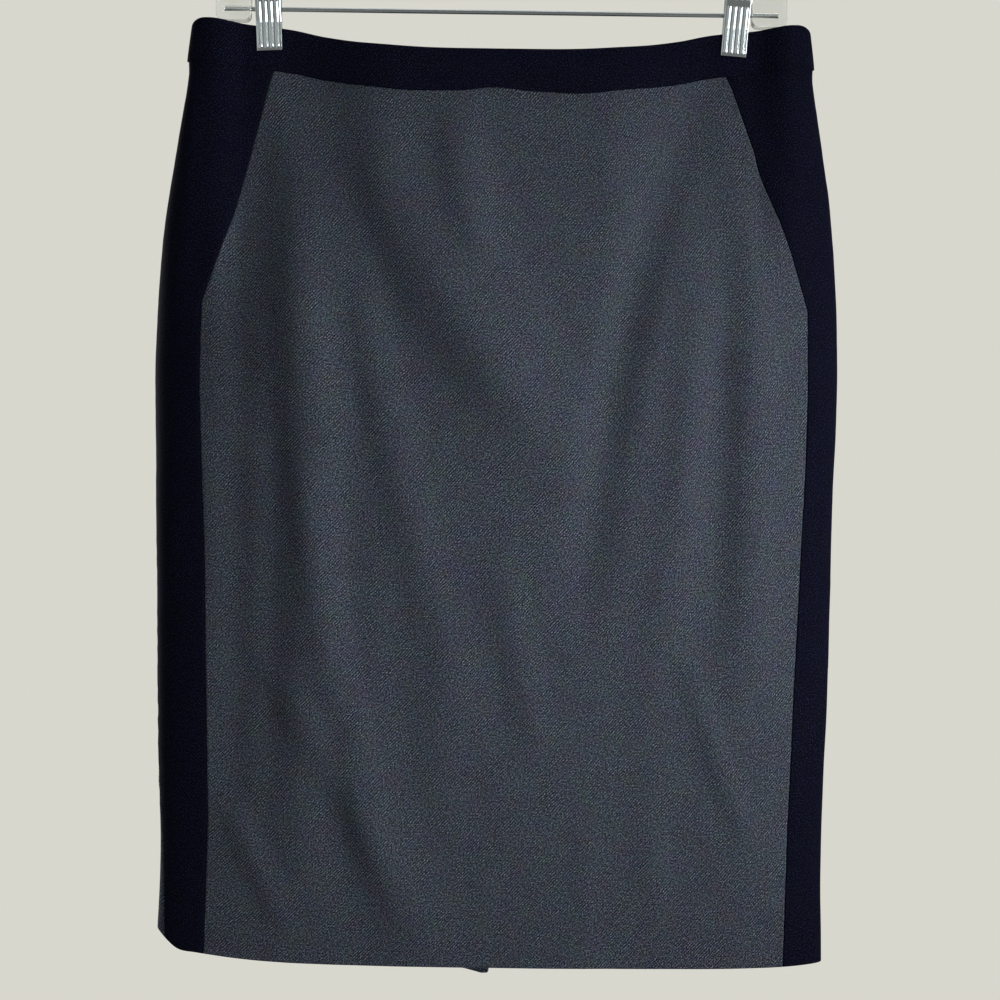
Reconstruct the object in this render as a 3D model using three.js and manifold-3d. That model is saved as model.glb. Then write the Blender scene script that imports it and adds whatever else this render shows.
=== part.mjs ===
import * as THREE from "three";
import { mergeVertices } from "three/addons/utils/BufferGeometryUtils.js";
import Module from "manifold-3d";

// A pencil skirt that hangs from a clip hanger, in millimetres. The origin is the inside of the
// hook's crown, where a rail bears. X runs to the viewer's right, Y away from the viewer, Z up.

// Driving sizes of the skirt
const PANEL_THICKNESS = 2;
const BAND_THICKNESS = 3;
const SEAM_GAP = 0.3;
const BAND_TOP_LEVEL = -121.6;
const BAND_HEIGHT = 29;
const SIDE_LENGTH = 618;
const PANEL_LENGTH = SIDE_LENGTH - BAND_HEIGHT;
const SLANT_HEIGHT = 161;
const BAND_CORNER_DROP = 4.2;
const BAND_CORNER_START = 195.5;
const BAND_CORNER_END = 202.6;
const UNDERLAP_WIDTH = 40;
const UNDERLAP_SEAM_ALLOWANCE = 8;

// Driving sizes of the zip
const ZIP_SLIT = 3;
const ZIP_TAPE_WIDTH = 12.5;
const ZIP_TAPE_THICKNESS = 0.8;
const ZIP_COIL_THICKNESS = 1.7;
const SLIDER_DROP = 9;
const SLIDER_HEIGHT = 10;
const SLIDER_WIDTH = 6.4;
const SLIDER_THICKNESS = 3;
const SLIDER_CORNER = 1.5;
const ZIP_TOP_DROP = 1;
const NECK_SINK = 0.8;
const NECK_HEIGHT = 3.6;
const EYE_HOLE_RADIUS = 1.1;
const EYE_RADIUS = 2.2;
const EYE_WIDTH = 1.4;
const EYE_STAND_OFF = 2.2;
const EYE_RISE = 1;
const PULL_LENGTH = 24;
const PULL_WIDTH = 6;
const PULL_TOP_WIDTH = 4;
const PULL_THICKNESS = 1;
const PULL_BAR_RADIUS = 0.6;
const PULL_BAR_LENGTH = 4.2;
const PULL_WINDOW_WIDTH = 2.6;
const PULL_WINDOW_TOP = 1;
const PULL_WINDOW_LENGTH = 3;

// Driving sizes of the hanger
const ROD_LEVEL = -115;
const ROD_RADIUS = 1.5;
const ROD_HALF_LENGTH = 182;
const BLOCK_INNER_X = 165.2;
const BLOCK_OUTER_X = 188;
const BLOCK_DEPTH = 12;
const BLOCK_HEIGHT = 24;
const BLOCK_CORNER = 4;
const BLOCK_MIDDLE_LEVEL = ROD_LEVEL + 4;
const ARM_DEPTH = 6;
const HUB_TOP_LEVEL = -50;
const HUB_LENGTH = 28;
const HUB_RADIUS = 6;
const HOOK_INNER_RADIUS = 20;
const HOOK_WIRE_RADIUS = 1.6;
const HOOK_STEM_END = -65.5;
const HOOK_START_DEGREES = -45;
const HOOK_END_DEGREES = 195;
const BORE_CLEARANCE = 0.3;
const STEM_BORE_SPARE = 0.5;

// An arm's upper and lower edge, from the hub to the block and back, by distance out. Between
// the three points of each bow the middle one draws the curve.
const ARM_TOP = [
  { out: 8, level: HUB_TOP_LEVEL - 2 },
  { out: 60, level: HUB_TOP_LEVEL - 12 },
  { out: 178, level: ROD_LEVEL + 16 },
];
const ARM_END = { out: 178, level: ROD_LEVEL + 6 };
const ARM_UNDERSIDE = [
  { out: BLOCK_INNER_X, level: ROD_LEVEL + 7 },
  { out: 60, level: HUB_TOP_LEVEL - 31 },
  { out: 0, level: HUB_TOP_LEVEL - 28 },
];

// The hook's wire from its end in the hub to the start of its round part
const HOOK_NECK = [
  { x: 0, level: HOOK_STEM_END },
  { x: 0, level: HUB_TOP_LEVEL - 4 },
  { x: 1, level: HUB_TOP_LEVEL + 3 },
  { x: 8, level: HUB_TOP_LEVEL + 8.5 },
];

// Driving sizes of the clips
const CLIP_WIDTH = 16.6;
const CLIP_SHEET = 1.2;
const CLIP_JAW_OVERLAP = 28;
const RIB_COUNT = 4;
const RIB_SPACING = 3.75;
const RIB_HEIGHT = 0.7;
const RIB_FOOT = 1.9;
const EAR_SHEET = 1;
const EAR_RADIUS = 4.3;
const EAR_HOLE_RADIUS = 2.5;
const EAR_FOOT = { out: 5.1, up: -5.4 };
const EAR_HEAD = { out: 7.1, up: 5 };
const SPRING_INNER_RADIUS = 2.1;
const SPRING_OUTER_RADIUS = 3.6;

// A clip's plate, from its jaw up to its grip. up counts from the rod's axis and out from the
// skirt's middle plane, and ribbed says how much of the ribs' height that row has.
const CLIP_ROWS = [
  { up: -CLIP_JAW_OVERLAP, out: 5.5, ribbed: 0 },
  { up: -26, out: 4.7, ribbed: 0 },
  { up: -24.8, out: 4.7, ribbed: 1 },
  { up: -9, out: 4.7, ribbed: 1 },
  { up: 3.4, out: 7.3, ribbed: 1 },
  { up: 4.8, out: 7.6, ribbed: 0 },
  { up: 8.2, out: 8.5, ribbed: 0 },
  { up: 9.6, out: 8.8, ribbed: 1 },
  { up: 22.6, out: 11.4, ribbed: 1 },
  { up: 26, out: 11.8, ribbed: 0 },
];

// Where each clip sits on the rod, and how far its top leans outwards
const CLIPS = [
  { side: "left", x: -153.7, lean: -3 },
  { side: "right", x: 155.2, lean: 4.4 },
];
const GRIP_X = 154;
const GRIP_FLAT = 13;
const GRIP_REACH_IN = 85;
const GRIP_REACH_OUT = 38;
const GRIPPED_DEPTH = 2.2;
const GRIP_FADE_TOP = ROD_LEVEL - CLIP_JAW_OVERLAP - 3;
const GRIP_FADE_LENGTH = 200;

// The skirt's level sections, by distance below the band's top at the side. depth is the front's
// or the back's reach from the middle plane, and squareness above 2 makes the side fold rounder.
const SECTIONS = [
  { below: 0, halfWidth: 202.6, depth: 14, squareness: 7 },
  { below: 29, halfWidth: 206, depth: 16.5, squareness: 6 },
  { below: 36, halfWidth: 205.7, depth: 18, squareness: 5.4 },
  { below: 61, halfWidth: 209.5, depth: 22, squareness: 4.2 },
  { below: 90, halfWidth: 213.8, depth: 28, squareness: 3.2 },
  { below: 117, halfWidth: 217.9, depth: 34, squareness: 2.6 },
  { below: 150, halfWidth: 221.3, depth: 40.5, squareness: 2.3 },
  { below: 195, halfWidth: 224.1, depth: 47, squareness: 2.1 },
  { below: 240, halfWidth: 225, depth: 49.5, squareness: 2 },
  { below: 300, halfWidth: 223.4, depth: 47, squareness: 2 },
  { below: 350, halfWidth: 222.6, depth: 44.5, squareness: 2 },
  { below: 450, halfWidth: 220.5, depth: 40, squareness: 2 },
  { below: 550, halfWidth: 217.6, depth: 36, squareness: 2 },
  { below: 618, halfWidth: 218.9, depth: 33, squareness: 2 },
];

// How far the waist's edge sags between and beyond the clips, by distance from the middle
const WAIST_SAG = [
  { out: 0, front: 20, back: 17.5 },
  { out: 50, front: 19.5, back: 17 },
  { out: 90, front: 16.5, back: 14.5 },
  { out: 115, front: 12.3, back: 11 },
  { out: 137, front: 7.3, back: 7 },
  { out: 165, front: 4.2, back: 4.2 },
  { out: 190, front: 0.7, back: 0.7 },
  { out: 205, front: 0, back: 0 },
];

// Small rises and dips of the seam under the band
const BAND_SEAM_WAVES = [
  { at: -62, reach: 34, rise: -1 },
  { at: -3, reach: 26, rise: 2.6 },
  { at: 54, reach: 32, rise: -1.6 },
];

// How far the hem rises above its level, by distance from the middle. It droops at the vent.
const HEM_RISE = [
  { out: 0, frontLeft: 0, frontRight: 0, backLeft: -14, backRight: -4.5 },
  { out: 1.6, frontLeft: 0, frontRight: 0, backLeft: -15.8, backRight: -4.8 },
  { out: 4, frontLeft: 0, frontRight: 0, backLeft: -15.8, backRight: -4.9 },
  { out: 17, frontLeft: 0, frontRight: 0, backLeft: -12.4, backRight: -4.8 },
  { out: 50, frontLeft: 0, frontRight: 0, backLeft: -6.5, backRight: -4 },
  { out: 90, frontLeft: 0, frontRight: 0, backLeft: -3, backRight: -3 },
  { out: 150, frontLeft: 1, frontRight: 0, backLeft: 0, backRight: -1.5 },
  { out: 193, frontLeft: 4.5, frontRight: 0.5, backLeft: 6, backRight: 0.4 },
  { out: 205, frontLeft: 6.4, frontRight: 0.9, backLeft: 10, backRight: 1.1 },
  { out: 219, frontLeft: 17.5, frontRight: 1.5, backLeft: 17, backRight: 1.5 },
];

// The seams between the front panel and the side fronts, by distance down from the band
const FRONT_SEAMS = [
  { down: 0, left: -150, right: 149 },
  { down: 55, left: -162.5, right: 167 },
  { down: 100, left: -173, right: 183 },
  { down: SLANT_HEIGHT, left: -193, right: 202.5 },
  { down: 215, left: -193.5, right: 203.3 },
  { down: 260, left: -191.6, right: 202.6 },
  { down: 320, left: -189, right: 200 },
  { down: 420, left: -186.5, right: 195.7 },
  { down: 500, left: -184.5, right: 193.2 },
  { down: PANEL_LENGTH, left: -186.6, right: 191.7 },
];

// The side seams, in degrees behind the side fold: the skirt hangs turned a little to the right
const SIDE_SEAMS = [
  { down: 0, left: 4, right: 6 },
  { down: 250, left: 3, right: 10 },
  { down: 400, left: 0, right: 11 },
  { down: 480, left: -4, right: 12 },
  { down: PANEL_LENGTH, left: -13, right: 14 },
];

// The largest soft folds, each a ridge or a trough that runs down a panel. start and end are
// distances down from the band, and the x columns give its line.
const FOLDS = [
  { face: "front", start: 0, end: 560, startX: -137, middleX: -118, endX: -126, reach: 30, rise: 5.8 },
  { face: "front", start: 25, end: 240, startX: -80, middleX: -41, endX: 34, reach: 38, rise: 4.6 },
  { face: "front", start: 35, end: 280, startX: -46, middleX: -9, endX: 46, reach: 56, rise: 6 },
  { face: "front", start: 5, end: 360, startX: 128, middleX: 79, endX: 60, reach: 24, rise: -5.2 },
  { face: "front", start: 60, end: 440, startX: 160, middleX: 168, endX: 160, reach: 24, rise: 3.8 },
  { face: "front", start: 60, end: 400, startX: 141, middleX: 144, endX: 140, reach: 22, rise: -2.8 },
  { face: "front", start: 60, end: 450, startX: 140, middleX: 122, endX: 96, reach: 20, rise: 2.6 },
  { face: "front", start: 40, end: 480, startX: -117, middleX: -60, endX: -2, reach: 22, rise: 3 },
  { face: "front", start: 250, end: 545, startX: -124, middleX: -98, endX: -66, reach: 20, rise: 3 },
  { face: "front", start: 385, end: 585, startX: -150, middleX: -87, endX: -45, reach: 22, rise: 2.6 },
  { face: "front", start: 370, end: 589, startX: -96, middleX: -77, endX: -36, reach: 36, rise: 3.6 },
  { face: "front", start: 0, end: 210, startX: -129, middleX: -128, endX: -128, reach: 34, rise: 3.4 },
  { face: "front", start: 0, end: 190, startX: 150, middleX: 146, endX: 138, reach: 62, rise: 5 },
  { face: "back", start: 0, end: 420, startX: 138, middleX: 126, endX: 118, reach: 30, rise: 5.2 },
  { face: "back", start: 30, end: 330, startX: 84, middleX: 52, endX: 30, reach: 32, rise: -4.2 },
  { face: "back", start: 0, end: 360, startX: -120, middleX: -104, endX: -70, reach: 30, rise: -4.4 },
  { face: "back", start: 90, end: 470, startX: -150, middleX: -152, endX: -128, reach: 26, rise: 4.4 },
  { face: "back", start: 330, end: 575, startX: 96, middleX: 78, endX: 66, reach: 26, rise: 3.4 },
];

// Numbers of grid steps
const SLANT_ROWS = 5;
const LOWER_ROWS = 13;
const FRONT_COLUMNS = 26;
const SIDE_COLUMNS = 8;
const BACK_COLUMNS = 15;
const VENT_ROWS = 5;
const UNDERLAP_COLUMNS = 4;
const TAPE_COLUMNS = 2;
const HOOK_STEPS = 34;

const TURN = Math.PI / 180;
const HALF_TURN = Math.PI;
const SIDE_ANGLE = Math.PI / 2;
const SMALL_TURN = 0.002;

const { clamp, lerp, smoothstep } = THREE.MathUtils;

function material(color, roughness, metalness) {
  return new THREE.MeshStandardMaterial({ color, roughness, metalness });
}

function rowBefore(table, key, at) {
  let row = 0;
  while (row < table.length - 2 && table[row + 1][key] < at) {
    row += 1;
  }
  return row;
}

// A column of a table, read along straight lines between its rows
function readStraight(table, key, at, column) {
  const row = rowBefore(table, key, at);
  const start = table[row];
  const end = table[row + 1];
  const share = clamp((at - start[key]) / (end[key] - start[key]), 0, 1);
  return lerp(start[column], end[column], share);
}

// A column of a table, read along a smooth curve through its rows
function readSmooth(table, key, at, column) {
  const last = table.length - 1;
  const place = clamp(at, table[0][key], table[last][key]);
  const row = rowBefore(table, key, place);
  const slopeAt = (index) => {
    const before = table[Math.max(index - 1, 0)];
    const after = table[Math.min(index + 1, last)];
    return (after[column] - before[column]) / (after[key] - before[key]);
  };
  const start = table[row];
  const end = table[row + 1];
  const span = end[key] - start[key];
  const t = (place - start[key]) / span;
  const rest = 1 - t;
  const fromStart = start[column] * (1 + 2 * t) * rest * rest + slopeAt(row) * span * t * rest * rest;
  const fromEnd = end[column] * t * t * (3 - 2 * t) - slopeAt(row + 1) * span * t * t * rest;
  return fromStart + fromEnd;
}

function section(below, column) {
  return readSmooth(SECTIONS, "below", below, column);
}

// Shares run from -1 at the band's top through 0 at its seam to 1 at the hem
function nominalBelow(share) {
  return share < 0 ? BAND_HEIGHT * (1 + share) : lerp(BAND_HEIGHT, SIDE_LENGTH, share);
}

function seamWave(x) {
  let rise = 0;
  for (const wave of BAND_SEAM_WAVES) {
    const away = Math.min(Math.abs(x - wave.at) / wave.reach, 1);
    rise += wave.rise * Math.cos((away * Math.PI) / 2) ** 2;
  }
  return rise;
}

function isBack(angle) {
  return Math.cos(angle) < 0;
}

// The level of a point at x, for its share of the way down
function levelAt(x, angle, share) {
  const out = Math.abs(x);
  const back = isBack(angle);
  const top = BAND_TOP_LEVEL - readSmooth(WAIST_SAG, "out", out, back ? "back" : "front");
  const seam = top - BAND_HEIGHT + (back ? 0 : seamWave(x));
  if (share < 0) {
    const cornerWidth = BAND_CORNER_END - BAND_CORNER_START;
    const intoCorner = clamp((out - BAND_CORNER_START) / cornerWidth, 0, 1);
    const drop = BAND_CORNER_DROP * (1 - Math.sqrt(1 - intoCorner ** 2));
    return lerp(seam, top - drop, -share);
  }
  const column = (back ? "back" : "front") + (angle < 0 ? "Left" : "Right");
  const hem = BAND_TOP_LEVEL - SIDE_LENGTH + readSmooth(HEM_RISE, "out", out, column);
  return lerp(seam, hem, share);
}

function gripShare(x, level) {
  const away = Math.abs(x) - GRIP_X;
  const reach = away < 0 ? GRIP_REACH_IN : GRIP_REACH_OUT;
  const across = 1 - smoothstep(Math.abs(away), GRIP_FLAT, reach);
  return across * smoothstep(level, GRIP_FADE_TOP - GRIP_FADE_LENGTH, GRIP_FADE_TOP);
}

// A point of the smooth ring at a level. Angle 0 is the front's middle, and angles grow to the
// viewer's right, round the side fold to the centre back at half a turn.
function ringPoint(angle, level) {
  const below = BAND_TOP_LEVEL - level;
  const across = Math.sin(angle);
  const x = section(below, "halfWidth") * across;
  const fullness = Math.sqrt(Math.max(1 - Math.abs(across) ** section(below, "squareness"), 0));
  const bowed = section(below, "depth") * fullness;
  const depth = lerp(bowed, GRIPPED_DEPTH, gripShare(x, level));
  return new THREE.Vector2(x, isBack(angle) ? depth : -depth);
}

function foldRise(x, down, back) {
  let rise = 0;
  for (const fold of FOLDS) {
    const along = (down - fold.start) / (fold.end - fold.start);
    if ((fold.face === "back") !== back || along <= 0 || along >= 1) {
      continue;
    }
    const rest = 1 - along;
    const pull = 2 * fold.middleX - (fold.startX + fold.endX) / 2;
    const line = fold.startX * rest * rest + 2 * pull * along * rest + fold.endX * along * along;
    const away = Math.min(Math.abs(x - line) / fold.reach, 1);
    rise += fold.rise * Math.cos((away * Math.PI) / 2) ** 2 * Math.sin(Math.PI * along) ** 0.7;
  }
  return rise;
}

// A point of the cloth, moved outwards from the panels' outer face by the given distance
function clothPoint(angle, share, outwards) {
  const nominalX = section(nominalBelow(share), "halfWidth") * Math.sin(angle);
  const level = levelAt(nominalX, angle, share);
  const place = ringPoint(angle, level);
  const after = ringPoint(angle + SMALL_TURN, level);
  const along = after.sub(ringPoint(angle - SMALL_TURN, level)).normalize();
  const push = outwards + foldRise(place.x, share * PANEL_LENGTH, isBack(angle));
  return new THREE.Vector3(place.x + along.y * push, place.y - along.x * push, level);
}

// The turn that moves a point of the cloth sideways by a distance
function turnFor(angle, share, distance) {
  const before = clothPoint(angle - SMALL_TURN, share, 0);
  const moved = clothPoint(angle + SMALL_TURN, share, 0).distanceTo(before);
  return (distance * 2 * SMALL_TURN) / moved;
}

function frontSeamAngle(side, share) {
  const x = readStraight(FRONT_SEAMS, "down", share * PANEL_LENGTH, side);
  return Math.asin(x / section(nominalBelow(share), "halfWidth"));
}

function sideSeamAngle(side, share) {
  const behind = readSmooth(SIDE_SEAMS, "down", share * PANEL_LENGTH, side) * TURN;
  return side === "left" ? -SIDE_ANGLE - behind : SIDE_ANGLE + behind;
}

// The angle on the back, counted past the right side, of a point at x
function backAngle(x, share) {
  return HALF_TURN - Math.asin(x / section(nominalBelow(share), "halfWidth"));
}

function evenly(start, end, count) {
  return Array.from({ length: count + 1 }, (_, index) => lerp(start, end, index / count));
}

// A closed wall between two like grids of points, the face that shows and the face behind it.
// Rows run down and columns run right, as seen from outside.
function wallBetween(shown, hidden) {
  const rows = shown.length;
  const columns = shown[0].length;
  const count = rows * columns;
  const positions = [...shown.flat(), ...hidden.flat()].flatMap((point) => point.toArray());
  const index = [];
  const quad = (a, b, c, d) => index.push(a, b, c, a, c, d);
  const at = (row, column) => row * columns + column;
  for (let row = 0; row < rows - 1; row += 1) {
    for (let column = 0; column < columns - 1; column += 1) {
      const a = at(row, column);
      const b = at(row + 1, column);
      const c = at(row + 1, column + 1);
      const d = at(row, column + 1);
      quad(a, b, c, d);
      quad(count + a, count + d, count + c, count + b);
    }
  }
  for (let row = 0; row < rows - 1; row += 1) {
    const left = at(row, 0);
    const lowerLeft = at(row + 1, 0);
    const right = at(row, columns - 1);
    const lowerRight = at(row + 1, columns - 1);
    quad(left, count + left, count + lowerLeft, lowerLeft);
    quad(right, lowerRight, count + lowerRight, count + right);
  }
  for (let column = 0; column < columns - 1; column += 1) {
    const top = at(0, column);
    const topNext = at(0, column + 1);
    const low = at(rows - 1, column);
    const lowNext = at(rows - 1, column + 1);
    quad(top, topNext, count + topNext, count + top);
    quad(low, count + low, count + lowNext, lowNext);
  }
  const geometry = new THREE.BufferGeometry();
  geometry.setAttribute("position", new THREE.Float32BufferAttribute(positions, 3));
  geometry.setIndex(index);
  geometry.computeVertexNormals();
  return geometry;
}

// A cloth wall over the given rows, between two edges that are angles for each share
function clothWall({ shares, anglesAt, outwards, thickness }) {
  const grid = (push) =>
    shares.map((share) => anglesAt(share).map((angle) => clothPoint(angle, share, push)));
  return wallBetween(grid(outwards), grid(outwards - thickness));
}

// The angles across a panel, clear of its neighbours by half a seam gap at each edge
function panelAngles(leftEdge, rightEdge, columns, share) {
  const left = leftEdge(share);
  const right = rightEdge(share);
  const leftTurn = turnFor(left, share, SEAM_GAP / 2);
  const rightTurn = turnFor(right, share, SEAM_GAP / 2);
  return evenly(left + leftTurn, right - rightTurn, columns);
}

const meshes = [];

function addMesh(name, geometry, look) {
  const mesh = new THREE.Mesh(geometry, look);
  mesh.name = name;
  meshes.push(mesh);
  return mesh;
}

const PANELS = [
  {
    name: "back_panel_left",
    cloth: "grey",
    columns: BACK_COLUMNS,
    leftEdge: () => -HALF_TURN,
    rightEdge: (share) => sideSeamAngle("left", share),
  },
  {
    name: "side_front_left",
    cloth: "navy",
    columns: SIDE_COLUMNS,
    leftEdge: (share) => sideSeamAngle("left", share),
    rightEdge: (share) => frontSeamAngle("left", share),
  },
  {
    name: "front_panel",
    cloth: "grey",
    columns: FRONT_COLUMNS,
    leftEdge: (share) => frontSeamAngle("left", share),
    rightEdge: (share) => frontSeamAngle("right", share),
  },
  {
    name: "side_front_right",
    cloth: "navy",
    columns: SIDE_COLUMNS,
    leftEdge: (share) => frontSeamAngle("right", share),
    rightEdge: (share) => sideSeamAngle("right", share),
  },
  {
    name: "back_panel_right",
    cloth: "grey",
    columns: BACK_COLUMNS,
    leftEdge: (share) => sideSeamAngle("right", share),
    rightEdge: () => HALF_TURN,
  },
];

const clothLooks = {
  grey: material(0x3b3f47, 0.95, 0),
  navy: material(0x0b0c18, 0.95, 0),
};

const topShare = SEAM_GAP / 2 / PANEL_LENGTH;
const slantShare = SLANT_HEIGHT / PANEL_LENGTH;
const panelShares = [
  ...evenly(topShare, slantShare, SLANT_ROWS),
  ...evenly(slantShare, 1, LOWER_ROWS).slice(1),
];

function makePanels() {
  for (const panel of PANELS) {
    const geometry = clothWall({
      shares: panelShares,
      anglesAt: (share) => panelAngles(panel.leftEdge, panel.rightEdge, panel.columns, share),
      outwards: 0,
      thickness: PANEL_THICKNESS,
    });
    addMesh(panel.name, geometry, clothLooks[panel.cloth].clone());
  }
}

// The band is one strip whose columns stand over the panels' columns, with a slit at the back
function makeWaistband() {
  const overPanels = PANELS.flatMap((panel) =>
    evenly(panel.leftEdge(0), panel.rightEdge(0), panel.columns).slice(1),
  );
  const slitTurn = turnFor(HALF_TURN, 0, ZIP_SLIT / 2);
  const angles = [-HALF_TURN + slitTurn, ...overPanels.slice(0, -1), HALF_TURN - slitTurn];
  const geometry = clothWall({
    shares: [-1, -SEAM_GAP / 2 / BAND_HEIGHT],
    anglesAt: () => angles,
    outwards: BAND_THICKNESS - PANEL_THICKNESS,
    thickness: BAND_THICKNESS,
  });
  addMesh("waistband", geometry, clothLooks.navy.clone());
}

// The right back's extension behind the left back, down the vent
function makeVentUnderlap() {
  const geometry = clothWall({
    shares: panelShares.slice(-VENT_ROWS - 1),
    anglesAt: (share) => {
      const sewnEdge = backAngle(UNDERLAP_SEAM_ALLOWANCE, share);
      return evenly(sewnEdge, backAngle(-UNDERLAP_WIDTH, share), UNDERLAP_COLUMNS);
    },
    outwards: -PANEL_THICKNESS - SEAM_GAP,
    thickness: PANEL_THICKNESS,
  });
  addMesh("vent_underlap", geometry, clothLooks.grey.clone());
}

const zipTapeLook = material(0x10111c, 0.8, 0);
const zipMetalLook = material(0x1b1c22, 0.4, 0.8);

// Shares along the centre back, from below the band's top to the level of the slants' lower ends
function zipShares(startBelowTop) {
  const bandStart = -1 + startBelowTop / BAND_HEIGHT;
  return [bandStart, ...panelShares.slice(0, SLANT_ROWS + 1)];
}

function makeZipTapes() {
  const slit = ZIP_SLIT / 2 + SEAM_GAP / 2;
  const strips = [
    { name: "zip_tape_right", fromX: slit + ZIP_TAPE_WIDTH, toX: slit },
    { name: "zip_tape_left", fromX: -slit, toX: -slit - ZIP_TAPE_WIDTH },
  ];
  for (const strip of strips) {
    const geometry = clothWall({
      shares: zipShares(ZIP_TOP_DROP),
      anglesAt: (share) =>
        evenly(backAngle(strip.fromX, share), backAngle(strip.toX, share), TAPE_COLUMNS),
      outwards: -PANEL_THICKNESS - SEAM_GAP,
      thickness: ZIP_TAPE_THICKNESS,
    });
    addMesh(strip.name, geometry, zipTapeLook.clone());
  }
}

function makeZipCoil() {
  const halfWidth = ZIP_SLIT / 2 - SEAM_GAP / 2;
  const geometry = clothWall({
    shares: zipShares(SLIDER_DROP + SLIDER_HEIGHT / 2 + ZIP_TOP_DROP),
    anglesAt: (share) =>
      evenly(backAngle(halfWidth, share), backAngle(-halfWidth, share), TAPE_COLUMNS),
    outwards: -PANEL_THICKNESS - SEAM_GAP,
    thickness: ZIP_COIL_THICKNESS,
  });
  addMesh("zip_coil", geometry, zipTapeLook.clone());
}

const wasm = await Module();
wasm.setup();

function toSolid(geometry) {
  const bare = geometry.clone();
  bare.deleteAttribute("normal");
  bare.deleteAttribute("uv");
  const merged = mergeVertices(bare, 1e-4);
  return new wasm.Manifold(
    new wasm.Mesh({
      numProp: 3,
      vertProperties: new Float32Array(merged.attributes.position.array),
      triVerts: new Uint32Array(merged.index.array),
    }),
  );
}

function toGeometry(solid) {
  const mesh = solid.getMesh();
  const geometry = new THREE.BufferGeometry();
  geometry.setAttribute("position", new THREE.Float32BufferAttribute(mesh.vertProperties, 3));
  geometry.setIndex(Array.from(mesh.triVerts));
  geometry.computeVertexNormals();
  return geometry;
}

function join(geometries) {
  return geometries.map(toSolid).reduce((whole, next) => whole.add(next));
}

// A round bar along X, Y or Z
function bar(axis, radius, length, centre, sides = 16) {
  const geometry = new THREE.CylinderGeometry(radius, radius, length, sides);
  if (axis === "x") {
    geometry.rotateZ(SIDE_ANGLE);
  }
  if (axis === "z") {
    geometry.rotateX(SIDE_ANGLE);
  }
  return geometry.translate(...centre);
}

// An outline drawn in X and Z, thickened along Y about its middle plane
function uprightSlab(shape, depth, middleY = 0) {
  const slab = new THREE.ExtrudeGeometry(shape, { depth, bevelEnabled: false, curveSegments: 8 });
  slab.translate(0, 0, -depth / 2);
  slab.rotateX(SIDE_ANGLE);
  return slab.translate(0, middleY, 0);
}

// An outline drawn in Y and Z, thickened along X about its middle plane
function crossSlab(shape, depth, middleX) {
  const slab = new THREE.ExtrudeGeometry(shape, { depth, bevelEnabled: false, curveSegments: 8 });
  slab.translate(0, 0, -depth / 2);
  slab.rotateX(SIDE_ANGLE);
  slab.rotateZ(SIDE_ANGLE);
  return slab.translate(middleX, 0, 0);
}

function roundedRectangle(width, height, radius) {
  const x = width / 2;
  const y = height / 2;
  const shape = new THREE.Shape();
  shape.moveTo(-x + radius, -y);
  shape.lineTo(x - radius, -y);
  shape.absarc(x - radius, -y + radius, radius, -SIDE_ANGLE, 0);
  shape.lineTo(x, y - radius);
  shape.absarc(x - radius, y - radius, radius, 0, SIDE_ANGLE);
  shape.lineTo(-x + radius, y);
  shape.absarc(-x + radius, y - radius, radius, SIDE_ANGLE, HALF_TURN);
  shape.lineTo(-x, -y + radius);
  shape.absarc(-x + radius, -y + radius, radius, HALF_TURN, HALF_TURN + SIDE_ANGLE);
  return shape;
}

// The slider grips the coil inside the skirt. Its neck stands through the slit and carries an
// eye outside, and the pull's bar turns in that eye.
const sliderShare = -1 + SLIDER_DROP / BAND_HEIGHT;
const sliderSeat = clothPoint(HALF_TURN, sliderShare, 0);
const sliderFoot = clothPoint(HALF_TURN, sliderShare + SLIDER_HEIGHT / BAND_HEIGHT, 0);
const eyeY = sliderFoot.y + BAND_THICKNESS - PANEL_THICKNESS + EYE_STAND_OFF;
const pullPivot = new THREE.Vector3(0, eyeY, sliderSeat.z + EYE_RISE);

function makeSlider() {
  const tapeInside = PANEL_THICKNESS + SEAM_GAP + ZIP_TAPE_THICKNESS + SEAM_GAP;
  const headShare = sliderShare - SLIDER_HEIGHT / 2 / BAND_HEIGHT;
  const bodyOuterY = clothPoint(HALF_TURN, headShare, 0).y - tapeInside;
  const bodyShape = roundedRectangle(SLIDER_WIDTH, SLIDER_HEIGHT, SLIDER_CORNER);
  const body = uprightSlab(bodyShape, SLIDER_THICKNESS, bodyOuterY - SLIDER_THICKNESS / 2);
  body.translate(0, 0, sliderSeat.z);
  const neckLength = pullPivot.y - EYE_RADIUS - bodyOuterY + 2 * NECK_SINK;
  const neck = new THREE.BoxGeometry(EYE_WIDTH, neckLength, NECK_HEIGHT);
  neck.translate(0, bodyOuterY - NECK_SINK + neckLength / 2, pullPivot.z);
  const eye = bar("x", EYE_RADIUS, EYE_WIDTH, pullPivot.toArray(), 20);
  const hole = bar("x", EYE_HOLE_RADIUS, EYE_WIDTH * 2, pullPivot.toArray(), 16);
  const solid = join([body, neck, eye]).subtract(toSolid(hole));
  addMesh("zip_slider", toGeometry(solid), zipMetalLook.clone());
}

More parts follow.
